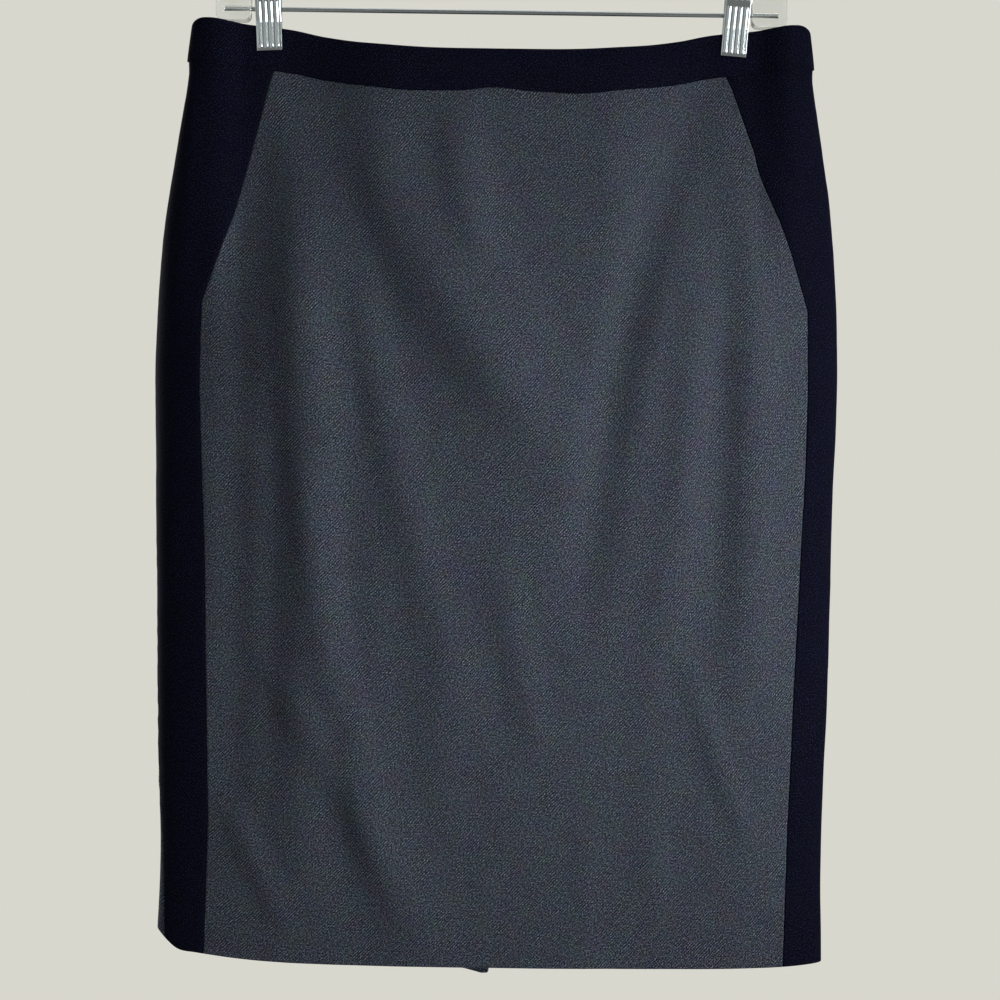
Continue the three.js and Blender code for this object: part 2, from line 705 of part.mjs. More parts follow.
function makePull() {
  const reach = PULL_WIDTH / 2;
  const topReach = PULL_TOP_WIDTH / 2;
  const outline = new THREE.Shape();
  outline.moveTo(-topReach, 0);
  outline.lineTo(-reach, -PULL_LENGTH + reach);
  outline.absarc(0, -PULL_LENGTH + reach, reach, HALF_TURN, HALF_TURN * 2);
  outline.lineTo(topReach, 0);
  outline.closePath();
  const windowHeight = PULL_WINDOW_TOP + PULL_WINDOW_LENGTH;
  const window = new THREE.BoxGeometry(PULL_WINDOW_WIDTH, PULL_THICKNESS * 3, windowHeight);
  window.translate(0, 0, PULL_WINDOW_TOP - windowHeight / 2);
  const plate = toSolid(uprightSlab(outline, PULL_THICKNESS));
  const opened = plate.subtract(toSolid(window));
  const crossBar = toSolid(bar("x", PULL_BAR_RADIUS, PULL_BAR_LENGTH, [0, 0, 0], 12));
  const geometry = toGeometry(opened.add(crossBar));
  const pull = addMesh("zip_pull", geometry, zipMetalLook.clone());
  pull.position.copy(pullPivot);
}

const steelLook = material(0xb9bdc0, 0.25, 1);
const plasticLook = material(0xdfe4e2, 0.15, 0);

// Two arms slope from a hub to the blocks that hold the rod's ends
function makeHangerBody() {
  const pieces = [bar("z", HUB_RADIUS, HUB_LENGTH, [0, 0, HUB_TOP_LEVEL - HUB_LENGTH / 2])];
  const blockWidth = BLOCK_OUTER_X - BLOCK_INNER_X;
  const blockMiddle = (BLOCK_INNER_X + BLOCK_OUTER_X) / 2;
  const blockShape = roundedRectangle(blockWidth, BLOCK_HEIGHT, BLOCK_CORNER);
  for (const side of [-1, 1]) {
    const at = (point) => [side * point.out, point.level];
    const arm = new THREE.Shape();
    arm.moveTo(0, ARM_TOP[0].level);
    arm.lineTo(...at(ARM_TOP[0]));
    arm.quadraticCurveTo(...at(ARM_TOP[1]), ...at(ARM_TOP[2]));
    arm.lineTo(...at(ARM_END));
    arm.lineTo(...at(ARM_UNDERSIDE[0]));
    arm.quadraticCurveTo(...at(ARM_UNDERSIDE[1]), ...at(ARM_UNDERSIDE[2]));
    arm.closePath();
    pieces.push(uprightSlab(arm, ARM_DEPTH));
    pieces.push(uprightSlab(blockShape, BLOCK_DEPTH).translate(side * blockMiddle, 0, BLOCK_MIDDLE_LEVEL));
  }
  let solid = join(pieces);
  const rodBore = bar("x", ROD_RADIUS + BORE_CLEARANCE, 2 * ROD_HALF_LENGTH + 1, [0, 0, ROD_LEVEL]);
  solid = solid.subtract(toSolid(rodBore));
  const stemDepth = HUB_TOP_LEVEL - HOOK_STEM_END + STEM_BORE_SPARE;
  const stemBore = bar("z", HOOK_WIRE_RADIUS + BORE_CLEARANCE, stemDepth * 2, [0, 0, HUB_TOP_LEVEL]);
  solid = solid.subtract(toSolid(stemBore));
  addMesh("hanger_body", toGeometry(solid), plasticLook.clone());
}

function makeRod() {
  const rod = bar("x", ROD_RADIUS, 2 * ROD_HALF_LENGTH, [0, 0, ROD_LEVEL]);
  addMesh("hanger_rod", rod, steelLook.clone());
}

// The wire rises from the hub, bends out and runs over the crown to its open end
function makeHook() {
  const wireRadius = HOOK_INNER_RADIUS + HOOK_WIRE_RADIUS;
  const centre = -HOOK_INNER_RADIUS;
  const line = HOOK_NECK.map((point) => new THREE.Vector3(point.x, 0, point.level));
  for (const degrees of evenly(HOOK_START_DEGREES, HOOK_END_DEGREES, 12)) {
    const turn = degrees * TURN;
    line.push(new THREE.Vector3(wireRadius * Math.cos(turn), 0, centre + wireRadius * Math.sin(turn)));
  }
  const curve = new THREE.CatmullRomCurve3(line, false, "centripetal");
  const wire = new THREE.Shape().absarc(0, 0, HOOK_WIRE_RADIUS, 0, HALF_TURN * 2);
  const sweep = { steps: HOOK_STEPS, extrudePath: curve, curveSegments: 5 };
  const geometry = new THREE.ExtrudeGeometry(wire, sweep);
  addMesh("hanger_hook", geometry, steelLook.clone());
}

function clipPlate(earX) {
  const columns = [{ x: -CLIP_WIDTH / 2, rise: 0 }];
  for (let rib = 0; rib < RIB_COUNT; rib += 1) {
    const middle = (rib - (RIB_COUNT - 1) / 2) * RIB_SPACING;
    columns.push({ x: middle - RIB_FOOT / 2, rise: 0 });
    columns.push({ x: middle, rise: RIB_HEIGHT });
    columns.push({ x: middle + RIB_FOOT / 2, rise: 0 });
  }
  columns.push({ x: CLIP_WIDTH / 2, rise: 0 });
  const rows = [...CLIP_ROWS].reverse();
  const faceOf = (row, column) =>
    new THREE.Vector3(column.x, -row.out - row.ribbed * column.rise, row.up);
  const insideOf = (row, column) => new THREE.Vector3(column.x, CLIP_SHEET - row.out, row.up);
  const shown = rows.map((row) => columns.map((column) => faceOf(row, column)));
  const hidden = rows.map((row) => columns.map((column) => insideOf(row, column)));
  const pieces = [wallBetween(shown, hidden)];
  for (const side of [-1, 1]) {
    const ear = new THREE.Shape();
    ear.moveTo(-EAR_FOOT.out, EAR_FOOT.up);
    ear.lineTo(0, -EAR_RADIUS);
    ear.absarc(0, 0, EAR_RADIUS, -SIDE_ANGLE, SIDE_ANGLE);
    ear.lineTo(-EAR_HEAD.out, EAR_HEAD.up);
    ear.closePath();
    pieces.push(crossSlab(ear, EAR_SHEET, side * earX));
  }
  const hole = bar("x", EAR_HOLE_RADIUS, CLIP_WIDTH * 2, [0, 0, 0]);
  return toGeometry(join(pieces).subtract(toSolid(hole)));
}

// Front and back plates turn about the rod on their ears, and a spring between them shuts the jaws
function makeClips() {
  const outerEar = CLIP_WIDTH / 2 - EAR_SHEET / 2;
  const innerEar = outerEar - EAR_SHEET - SEAM_GAP;
  for (const clip of CLIPS) {
    const front = clipPlate(outerEar);
    const back = clipPlate(innerEar).rotateZ(HALF_TURN);
    const springLength = 2 * (innerEar - EAR_SHEET / 2 - SEAM_GAP);
    const end = springLength / 2;
    const profile = [
      new THREE.Vector2(SPRING_INNER_RADIUS, -end),
      new THREE.Vector2(SPRING_OUTER_RADIUS, -end),
      new THREE.Vector2(SPRING_OUTER_RADIUS, end),
      new THREE.Vector2(SPRING_INNER_RADIUS, end),
      new THREE.Vector2(SPRING_INNER_RADIUS, -end),
    ];
    const spring = new THREE.LatheGeometry(profile, 16).rotateZ(SIDE_ANGLE);
    const pieces = [
      addMesh(`clip_${clip.side}_front`, front, steelLook.clone()),
      addMesh(`clip_${clip.side}_back`, back, steelLook.clone()),
      addMesh(`clip_${clip.side}_spring`, spring, steelLook.clone()),
    ];
    for (const piece of pieces) {
      piece.position.set(clip.x, 0, ROD_LEVEL);
      piece.rotation.y = clip.lean * TURN;
    }
  }
}

makePanels();
makeWaistband();
makeVentUnderlap();
makeZipTapes();
makeZipCoil();
makeSlider();
makePull();
makeHangerBody();
makeRod();
makeHook();
makeClips();

const skirt = new THREE.Group();
skirt.add(...meshes);

export default skirt;
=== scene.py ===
import math

import bpy
import numpy as np
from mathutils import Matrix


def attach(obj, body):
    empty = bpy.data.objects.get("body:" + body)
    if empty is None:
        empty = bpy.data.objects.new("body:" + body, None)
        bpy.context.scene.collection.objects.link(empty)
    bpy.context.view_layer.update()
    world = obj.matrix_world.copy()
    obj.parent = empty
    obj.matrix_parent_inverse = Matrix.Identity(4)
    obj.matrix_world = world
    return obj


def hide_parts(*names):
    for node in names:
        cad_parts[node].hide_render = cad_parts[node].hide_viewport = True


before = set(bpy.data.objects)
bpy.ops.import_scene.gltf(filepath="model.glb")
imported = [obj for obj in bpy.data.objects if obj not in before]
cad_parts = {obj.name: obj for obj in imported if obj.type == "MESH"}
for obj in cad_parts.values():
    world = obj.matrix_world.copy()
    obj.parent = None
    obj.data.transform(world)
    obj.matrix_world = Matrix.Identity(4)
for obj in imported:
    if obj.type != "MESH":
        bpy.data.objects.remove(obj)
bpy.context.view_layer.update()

# The camera stands square to the front at the photograph's distance, with a long lens. It is
# rolled a little, because the hanger's right end hangs lower in the picture.
camera = bpy.data.objects.new("camera", bpy.data.cameras.new("camera"))
camera.data.lens = 87.27
camera.location = (0.0034, -1.6, -0.43675)
camera.rotation_euler = (math.radians(90), math.radians(-0.78), 0)
bpy.context.scene.collection.objects.link(camera)
bpy.context.scene.camera = camera

# Studio: a pale warm wall colour all round, a soft lamp level with the skirt on its right, its
# mirror image behind, and weak ones on the left and above. The wall gives the cloth little light,
# so that the folds keep their shade. The floor is a pale disc, faintly lit from within.
bpy.context.scene.view_settings.view_transform = "Standard"


def linear(hex_colour):
    """An sRGB hex colour as linear red, green, blue and alpha."""
    channels = [int(hex_colour[start:start + 2], 16) / 255 for start in (0, 2, 4)]
    return [c / 12.92 if c <= 0.04045 else ((c + 0.055) / 1.055) ** 2.4 for c in channels] + [1]


def add_node(tree, kind, settings, links):
    """Adds a node, sets its inputs or properties, and links its inputs to other sockets."""
    node = tree.nodes.new(kind)
    for name, value in settings.items():
        if isinstance(name, int) or name in node.inputs:
            node.inputs[name].default_value = value
        else:
            setattr(node, name, value)
    for name, socket in links.items():
        tree.links.new(socket, node.inputs[name])
    return node


wall_colour = "D8D7CE"
light_from_below, light_from_above = 0.0, 0.18
studio = bpy.data.worlds.new("studio")
studio.use_nodes = True
studio.node_tree.nodes.clear()
bpy.context.scene.world = studio
rays = add_node(studio.node_tree, "ShaderNodeLightPath", {}, {})
seen_wall = add_node(
    studio.node_tree, "ShaderNodeBackground", {"Color": linear(wall_colour), "Strength": 1.0}, {}
)
ray_way = add_node(studio.node_tree, "ShaderNodeTexCoord", {}, {})
ray_axes = add_node(
    studio.node_tree, "ShaderNodeSeparateXYZ", {}, {"Vector": ray_way.outputs["Generated"]}
)
room_light = add_node(
    studio.node_tree,
    "ShaderNodeMapRange",
    {"From Min": -0.5, "From Max": 0.6, "To Min": light_from_below, "To Max": light_from_above},
    {"Value": ray_axes.outputs["Z"]},
)
lighting_wall = add_node(
    studio.node_tree,
    "ShaderNodeBackground",
    {"Color": (1, 1, 1, 1)},
    {"Strength": room_light.outputs["Result"]},
)
mirrored_way = add_node(
    studio.node_tree, "ShaderNodeMath", {"operation": "ABSOLUTE"}, {0: ray_axes.outputs["X"]}
)
mirrored_light = add_node(
    studio.node_tree,
    "ShaderNodeMapRange",
    {"From Min": 0.05, "From Max": 0.8, "To Min": 0.32, "To Max": 0.85},
    {"Value": mirrored_way.outputs[0]},
)
mirrored_wall = add_node(
    studio.node_tree,
    "ShaderNodeBackground",
    {"Color": linear(wall_colour)},
    {"Strength": mirrored_light.outputs["Result"]},
)
room_mix = add_node(
    studio.node_tree,
    "ShaderNodeMixShader",
    {},
    {0: rays.outputs["Is Glossy Ray"], 1: lighting_wall.outputs[0], 2: mirrored_wall.outputs[0]},
)
seen_or_seen_through = add_node(
    studio.node_tree,
    "ShaderNodeMath",
    {"operation": "MAXIMUM"},
    {0: rays.outputs["Is Camera Ray"], 1: rays.outputs["Is Transmission Ray"]},
)
wall_mix = add_node(
    studio.node_tree,
    "ShaderNodeMixShader",
    {},
    {0: seen_or_seen_through.outputs[0], 1: room_mix.outputs[0], 2: seen_wall.outputs[0]},
)
add_node(studio.node_tree, "ShaderNodeOutputWorld", {}, {"Surface": wall_mix.outputs[0]})


def add_lamp(name, place, aim_x, size, power, spread):
    """A square soft lamp that faces the middle of the skirt, its beam held in by a grid."""
    lamp = bpy.data.objects.new(name, bpy.data.lights.new(name, "AREA"))
    lamp.data.size = size
    lamp.data.energy = power
    lamp.data.spread = math.radians(spread)
    lamp.location = place
    aim = bpy.context.scene.camera.location.copy()
    aim.x, aim.y = aim_x, 0
    lamp.rotation_euler = (aim - lamp.location).to_track_quat("-Z", "Y").to_euler()
    bpy.context.scene.collection.objects.link(lamp)


# Name, place, where it aims across, size, power in watts and the beam's spread in degrees
add_lamp("key_lamp", (1.3, -1.05, -0.35), -0.05, 0.7, 2.3, 45)
add_lamp("fill_lamp", (-1.2, -2.2, 0.1), 0, 1.2, 3, 180)
add_lamp("top_lamp", (0.1, 0.2, 1.3), 0, 1.0, 5, 180)
add_lamp("back_lamp", (-1.3, 1.05, -0.35), 0.05, 0.7, 2.3, 45)

floor_level = -1.3
floor_radius = 1.8
floor_fade_start, floor_fade_end = 1.45, 2.15
floor_colour = "F1F0EA"
floor_glow_strength = 0.25
bpy.ops.object.select_all(action="DESELECT")
bpy.ops.mesh.primitive_circle_add(
    vertices=96, radius=floor_radius, fill_type="NGON", location=(0, 0, floor_level)
)
floor = bpy.context.object
floor.name = "floor"
bpy.ops.object.transform_apply(location=True, rotation=False, scale=False)
floor_paint = bpy.data.materials.new("painted_floor")
floor_paint.use_nodes = True
floor_paint.node_tree.nodes.clear()
floor_place = add_node(floor_paint.node_tree, "ShaderNodeTexCoord", {}, {})
floor_way_out = add_node(
    floor_paint.node_tree,
    "ShaderNodeVectorMath",
    {"operation": "LENGTH"},
    {0: floor_place.outputs["Object"]},
)
floor_fade = add_node(
    floor_paint.node_tree,
    "ShaderNodeMapRange",
    {"interpolation_type": "SMOOTHSTEP", "From Min": floor_fade_start, "From Max": floor_fade_end},
    {"Value": floor_way_out.outputs["Value"]},
)
floor_matt = add_node(
    floor_paint.node_tree, "ShaderNodeBsdfDiffuse", {"Color": linear(floor_colour)}, {}
)
floor_glow = add_node(
    floor_paint.node_tree,
    "ShaderNodeEmission",
    {"Color": linear(wall_colour), "Strength": floor_glow_strength},
    {},
)
floor_face = add_node(
    floor_paint.node_tree,
    "ShaderNodeAddShader",
    {},
    {0: floor_matt.outputs[0], 1: floor_glow.outputs[0]},
)
floor_end = add_node(floor_paint.node_tree, "ShaderNodeBsdfTransparent", {}, {})
floor_mix = add_node(
    floor_paint.node_tree,
    "ShaderNodeMixShader",
    {},
    {0: floor_fade.outputs["Result"], 1: floor_face.outputs[0], 2: floor_end.outputs[0]},
)
add_node(floor_paint.node_tree, "ShaderNodeOutputMaterial", {}, {"Surface": floor_mix.outputs[0]})
floor.data.materials.append(floor_paint)

# Front panel: one piece of grey wool twill between two slanted seams. Its edges are turned in and
# pressed open, its top is caught in the waistband, and its hem is turned up and blind stitched.
band_top_level = -121.6
band_height = 29.0
side_length = 618.0
panel_length = side_length - band_height
seam_gap = 0.06
cloth_thickness = 1.0
turn_radius = 1.05
seam_allowance = 12.0
hem_allowance = 38.0
caught_in_band = 8.0
cloth_pitch = 4.0

# Level sections: distance below the band's top, half width, depth to the front or the back, and
# how square the side fold is
sections = np.array([
    (0, 202.6, 14, 7), (29, 206, 16.5, 6), (36, 205.7, 18, 5.4), (61, 209.5, 22, 4.2),
    (90, 213.8, 28, 3.2), (117, 217.9, 34, 2.6), (150, 221.3, 40.5, 2.3), (195, 224.1, 47, 2.1),
    (240, 225, 49.5, 2), (300, 223.4, 47, 2), (350, 222.6, 44.5, 2), (450, 220.5, 40, 2),
    (550, 217.6, 36, 2), (618, 218.9, 33, 2),
]).T
# Sag of the waist: distance from the middle, then the front's and the back's sag
waist_sag = np.array([
    (0, 20, 17.5), (50, 19.5, 17), (90, 16.5, 14.5), (115, 12.3, 11), (137, 7.3, 7),
    (165, 4.2, 4.2), (190, 0.7, 0.7), (205, 0, 0),
]).T
# Waves of the seam under the band: place, reach and rise
band_seam_waves = [(-62, 34, -1), (-3, 26, 2.6), (54, 32, -1.6)]
# The band's top fold rounds down at its side ends
band_corner_drop, band_corner_start, band_corner_end = 4.2, 195.5, 202.6
# Rise of the hem: distance from the middle, then front left, front right, back left, back right
hem_rise = np.array([
    (0, 0, 0, -14, -4.5), (1.6, 0, 0, -15.8, -4.8), (4, 0, 0, -15.8, -4.9),
    (17, 0, 0, -12.4, -4.8), (50, 0, 0, -6.5, -4), (90, 0, 0, -3, -3), (150, 1, 0, 0, -1.5),
    (193, 4.5, 0.5, 6, 0.4), (205, 6.4, 0.9, 10, 1.1), (219, 17.5, 1.5, 17, 1.5),
]).T
# Seams beside the front panel: distance down, then the left and the right seam's place
front_seams = np.array([
    (0, -150, 149), (55, -162.5, 167), (100, -173, 183), (161, -193, 202.5), (215, -193.5, 203.3),
    (260, -191.6, 202.6), (320, -189, 200), (420, -186.5, 195.7), (500, -184.5, 193.2),
    (589, -186.6, 191.7),
]).T
# Soft folds: face, start and end down the panel, places at start, middle and end, reach, rise
folds = [
    ("front", 0, 560, -137, -118, -126, 30, 6.4),
    ("front", 25, 240, -80, -41, 34, 38, 5.0),
    ("front", 5, 360, 128, 79, 60, 23, -5.8),
    ("front", 60, 440, 160, 168, 160, 24, 4.2),
    ("front", 60, 400, 141, 144, 140, 22, -3.2),
    ("front", 385, 585, -150, -87, -45, 22, 2.6),
    ("front", 370, 589, -96, -77, -36, 36, 3.8),
    ("front", 250, 545, -124, -98, -66, 20, 3.0),
    ("front", 40, 480, -117, -60, -2, 23, 3.0),
    ("front", 60, 450, 140, 122, 96, 20, 2.6),
    ("front", 35, 280, -46, -9, 46, 58, 6.2),
    ("front", 300, 450, 1, 15, 32, 18, 2.4),
    ("front", 0, 240, -130, -129, -128, 44, 6.0),
    ("front", 120, 520, -168, -168, -170, 18, -1.8),
    ("front", 0, 190, 150, 146, 138, 68, 7.6),
    ("front", 300, 700, 172, 172, 172, 64, 3.0),
    ("front", 470, 585, 60, 62, 66, 14, 1.2),
    ("front", 440, 580, 108, 105, 108, 16, 1.4),
    ("front", 380, 500, -40, -32, -30, 22, 1.6),
    ("front", 480, 575, -172, -150, -125, 18, 2.6),
    ("front", 375, 525, 124, 146, 176, 14, 2.8),
    ("front", 0, 130, -26, -22, -8, 24, 5.0),
    ("front", 0, 150, -192, -191, -195, 13, -3.0),
    ("front", 0, 95, 178, 181, 186, 12, -1.6),
    ("back", 0, 420, 138, 126, 118, 30, 5.2),
    ("back", 30, 330, 84, 52, 30, 32, -4.2),
    ("back", 0, 360, -120, -104, -70, 30, -4.4),
    ("back", 90, 470, -150, -152, -128, 26, 4.4),
    ("back", 330, 575, 96, 78, 66, 26, 3.4),
    ("back", 200, 500, -20, -38, -72, 18, 2.2),
]
# The backs' darts: a stitched line down from the band, and the dent that it draws in the cloth
dart_top_x, dart_lean, dart_length = 75.0, 5.0, 105.0
dart_depth, dart_reach, dart_fade_start = 0.8, 2.2, 60.0
fold_end_power = 0.7
# Rises of the small waves that keep the cloth from lying quite even, from coarse to fine
coarse_rise, middle_rise, fine_rise = 0.30, 0.18, 0.10
# Where a clip grips, front and back are pressed together, and this fades out below the band
grip_x = 154.0
grip_flat = 13.0
grip_reach_in = 85.0
grip_reach_out = 38.0
gripped_depth = 2.2
grip_fade_top = -146.0
grip_fade_length = 200.0


def read_smooth(keys, values, at):
    """A column of a table, read along a smooth curve through its rows."""
    at = np.clip(at, keys[0], keys[-1])
    row = np.clip(np.searchsorted(keys, at) - 1, 0, len(keys) - 2)
    before = np.maximum(np.arange(len(keys)) - 1, 0)
    after = np.minimum(np.arange(len(keys)) + 1, len(keys) - 1)
    slopes = (values[after] - values[before]) / (keys[after] - keys[before])
    span = keys[row + 1] - keys[row]
    t = (at - keys[row]) / span
    rest = 1 - t
    from_start = values[row] * (1 + 2 * t) * rest**2 + slopes[row] * span * t * rest**2
    from_end = values[row + 1] * t**2 * (3 - 2 * t) - slopes[row + 1] * span * t**2 * rest
    return from_start + from_end


def smoothstep(value, low, high):
    """0 below low, 1 above high, and a soft rise between them."""
    t = np.clip((value - low) / (high - low), 0, 1)
    return t * t * (3 - 2 * t)


def half_width_at(share):
    """Half the skirt's width, for shares from -1 at the band's top to 1 at the hem."""
    below = np.where(share < 0, band_height * (1 + share), band_height + panel_length * share)
    return read_smooth(sections[0], sections[1], below)


def level_at(x, angle, share):
    """The level of a point of the cloth, for its share of the way down."""
    out = np.abs(x)
    back = np.cos(angle) < 0
    sag = np.where(
        back,
        read_smooth(waist_sag[0], waist_sag[2], out),
        read_smooth(waist_sag[0], waist_sag[1], out),
    )
    wave = 0
    for place, reach, rise in band_seam_waves:
        wave = wave + rise * np.cos(np.minimum(np.abs(x - place) / reach, 1) * math.pi / 2) ** 2
    top = band_top_level - sag
    seam = top - band_height + np.where(back, 0, wave)
    corner = np.clip((out - band_corner_start) / (band_corner_end - band_corner_start), 0, 1)
    top = top - band_corner_drop * (1 - np.sqrt(1 - corner**2))
    rises = [read_smooth(hem_rise[0], column, out) for column in hem_rise[1:]]
    rise = np.where(
        back, np.where(angle < 0, rises[2], rises[3]), np.where(angle < 0, rises[0], rises[1])
    )
    hem = band_top_level - side_length + rise
    return np.where(share < 0, seam - (top - seam) * share, seam + (hem - seam) * share)


def ring_point(angle, level):
    """A point of the smooth ring at a level, as x and y. Angle 0 is the front's middle."""
    below = band_top_level - level
    across = np.sin(angle)
    x = read_smooth(sections[0], sections[1], below) * across
    squareness = read_smooth(sections[0], sections[3], below)
    fullness = np.sqrt(np.maximum(1 - np.abs(across) ** squareness, 0))
    depth = read_smooth(sections[0], sections[2], below) * fullness
    away = np.abs(x) - grip_x
    reach = np.where(away < 0, grip_reach_in, grip_reach_out)
    gripped = 1 - smoothstep(np.abs(away), grip_flat, reach)
    gripped = gripped * smoothstep(level, grip_fade_top - grip_fade_length, grip_fade_top)
    depth = depth + (gripped_depth - depth) * gripped
    return x, np.where(np.cos(angle) < 0, depth, -depth)


def relief(x, down, back):
    """The rise of the soft folds and of the cloth's small unevenness, in mm."""
    rise = np.zeros(np.broadcast(x, down, back).shape)
    for face, start, end, start_x, middle_x, end_x, reach, height in folds:
        along = np.clip((down - start) / (end - start), 0, 1)
        pull = 2 * middle_x - (start_x + end_x) / 2
        line = start_x * (1 - along) ** 2 + 2 * pull * along * (1 - along) + end_x * along**2
        away = np.minimum(np.abs(x - line) / reach, 1)
        bump = height * np.cos(away * math.pi / 2) ** 2
        bump = bump * np.sin(math.pi * along) ** fold_end_power
        rise = rise + np.where(back == (face == "back"), bump, 0)
    dart_away = np.abs(np.abs(x) - dart_top_x - dart_lean * down / dart_length)
    dart = dart_depth * np.maximum(1 - dart_away / dart_reach, 0)
    dart = dart * (1 - smoothstep(down, dart_fade_start, dart_length))
    rise = rise - np.where(back & (down > 0), dart, 0)
    uneven = coarse_rise * np.sin(x / 13 + down / 61 + 1.3) * np.sin(down / 43 + 0.7)
    uneven = uneven + middle_rise * np.sin(x / 7.1 - down / 37 + 0.4) * np.sin(down / 23 - x / 51)
    uneven = uneven + fine_rise * np.sin(x / 4.3 + down / 19) * np.sin(down / 11 + x / 29 + 2.1)
    return rise + uneven * smoothstep(down, 0, 25)


def cloth_point(angle, share, outwards):
    """Points of the cloth, moved outwards from the panels' outer face, in mm."""
    level = level_at(half_width_at(share) * np.sin(angle), angle, share)
    step = 0.002
    x, y = ring_point(angle, level)
    before_x, before_y = ring_point(angle - step, level)
    after_x, after_y = ring_point(angle + step, level)
    along_x, along_y = after_x - before_x, after_y - before_y
    length = np.hypot(along_x, along_y)
    push = outwards + relief(x, share * panel_length, np.cos(angle) < 0)
    return np.stack(
        np.broadcast_arrays(x + along_y / length * push, y - along_x / length * push, level), -1
    )


def turn_for(angle, share):
    """How far a point of the cloth turns for each mm that it moves sideways."""
    step = 0.002
    moved = cloth_point(angle + step, share, 0) - cloth_point(angle - step, share, 0)
    return 2 * step / np.linalg.norm(moved, axis=-1)


def front_seam_angle(side, share):
    """Angle of the seam between the front panel and a side front."""
    x = np.interp(share * panel_length, front_seams[0], front_seams[side])
    return np.arcsin(x / half_width_at(share))


def turned_edge():
    """Columns of a pressed-open edge, from its raw end to the face: distance in, and offset."""
    turns = np.radians(np.arange(180, -1, -30))
    lying = np.array([seam_allowance, 8.0, 4.5, 2.4])
    inwards = seam_gap / 2 + turn_radius - turn_radius * np.sin(turns)
    offsets = -turn_radius + turn_radius * np.cos(turns)
    return np.r_[lying, inwards], np.r_[np.full(4, -2 * turn_radius), offsets]


def panel_sheet(left_edge, right_edge, fine_places=()):
    """Grid of a panel with turned-in edges and a turned-up hem: points, and faces to leave out."""
    edge_in, edge_offset = turned_edge()
    middle_share = np.array([0.5])
    middle = cloth_point(
        np.linspace(left_edge(middle_share)[0], right_edge(middle_share)[0], 50), 0.5, 0
    )
    width = np.linalg.norm(np.diff(middle, axis=0), axis=-1).sum()
    first = 3.0 / width
    face = np.linspace(first, 1 - first, max(int(width / cloth_pitch), 4))
    face = np.union1d(face, [f + s / width for f in fine_places for s in (-4, -2, -1, 0, 1, 2, 4)])
    across = np.r_[np.zeros(len(edge_in)), face, np.ones(len(edge_in))]
    shift = np.r_[edge_in, np.zeros(len(face)), -edge_in[::-1]]
    offset = np.r_[edge_offset, np.zeros(len(face)), edge_offset[::-1]]

    plain = np.linspace(0, 1 - turn_radius / panel_length, int(panel_length / cloth_pitch))
    caught = -np.array([caught_in_band, caught_in_band / 2]) / band_height
    turns = np.radians(np.arange(30, 181, 30))
    rounding = 1 - (turn_radius - turn_radius * np.sin(turns)) / panel_length
    risen = 1 - (turn_radius + np.array([2, 6, 12, 20, 29, hem_allowance])) / panel_length
    shares = np.r_[caught, plain, rounding, risen]
    hem_turn = np.r_[np.ones(len(caught) + len(plain)), np.cos(turns), -np.ones(len(risen))]

    rows = shares[:, None]
    left, right = left_edge(rows), right_edge(rows)
    angles = left + (right - left) * across
    angles = angles + shift * (turn_for(left, rows) * (1 - across) + turn_for(right, rows) * across)
    outwards = -turn_radius + hem_turn[:, None] * (turn_radius + offset)
    from_edge = np.minimum(across, 1 - across) * width + np.abs(shift)
    down = rows * panel_length
    pucker = np.sin(down / 2.3 + 1.7 * np.sin(down / 31)) * np.sin(down / 17 + 0.6)
    outwards = outwards + 0.22 * pucker * np.exp(-from_edge / 5) * smoothstep(down, 5, 30)
    points = cloth_point(angles, rows, outwards)

    allowance = offset < -turn_radius - 0.01
    trimmed = (shares > 1 - (hem_allowance + 3) / panel_length) & (shares > 0)
    skip = (allowance[:-1] | allowance[1:]) & (trimmed[:-1] | trimmed[1:])[:, None]
    return points, skip


def flat_coordinates(points):
    """Where each point lay in the flat cloth, in metres: across the grain and up along it."""
    middle = points.shape[1] // 2
    steps = np.linalg.norm(np.diff(points, axis=1), axis=-1)
    across = np.c_[np.zeros(len(points)), np.cumsum(steps, axis=1)]
    across = across - across[:, middle:middle + 1]
    falls = np.linalg.norm(np.diff(points[:, middle], axis=0), axis=-1)
    along = -np.r_[0, np.cumsum(falls)]
    return np.stack(np.broadcast_arrays(across, along[:, None]), -1) / 1000


def make_sheet(name, points, flat, thickness, material, skip=None):
    """Makes a grid of points in mm into a thin cloth shell, with its flat coordinates as UV."""
    rows, columns = points.shape[:2]
    corner = np.arange(rows * columns).reshape(rows, columns)
    quads = np.stack([corner[:-1, :-1], corner[1:, :-1], corner[1:, 1:], corner[:-1, 1:]], -1)
    quads = quads.reshape(-1, 4) if skip is None else quads[~skip]
    used, quads = np.unique(quads, return_inverse=True)
    quads = quads.reshape(-1, 4)
    mesh = bpy.data.meshes.new(name)
    mesh.from_pydata((points.reshape(-1, 3)[used] / 1000).tolist(), [], quads.tolist())
    uv = mesh.uv_layers.new(name="flat_cloth")
    uv.data.foreach_set("uv", flat.reshape(-1, 2)[used][quads.ravel()].ravel())
    sheet = bpy.data.objects.new(name, mesh)
    bpy.context.scene.collection.objects.link(sheet)
    bpy.ops.object.select_all(action="DESELECT")
    sheet.select_set(True)
    bpy.context.view_layer.objects.active = sheet
    bpy.ops.object.modifier_add(type="SOLIDIFY")
    sheet.modifiers[-1].thickness = thickness / 1000
    sheet.modifiers[-1].offset = -1
    bpy.ops.object.modifier_apply(modifier=sheet.modifiers[-1].name)
    bpy.ops.object.shade_smooth_by_angle(angle=math.radians(50))
    mesh.materials.append(material)
    return sheet


# Wool twill, woven from dyed yarn with some mixed fibres and left with a short nap: matt, with a
# faint sheen, flecked, with fine diagonal ribs. The ribs are 1.5 mm apart, as the picture shows.
twill_spacing = 0.0015
fleck_size = 0.0010


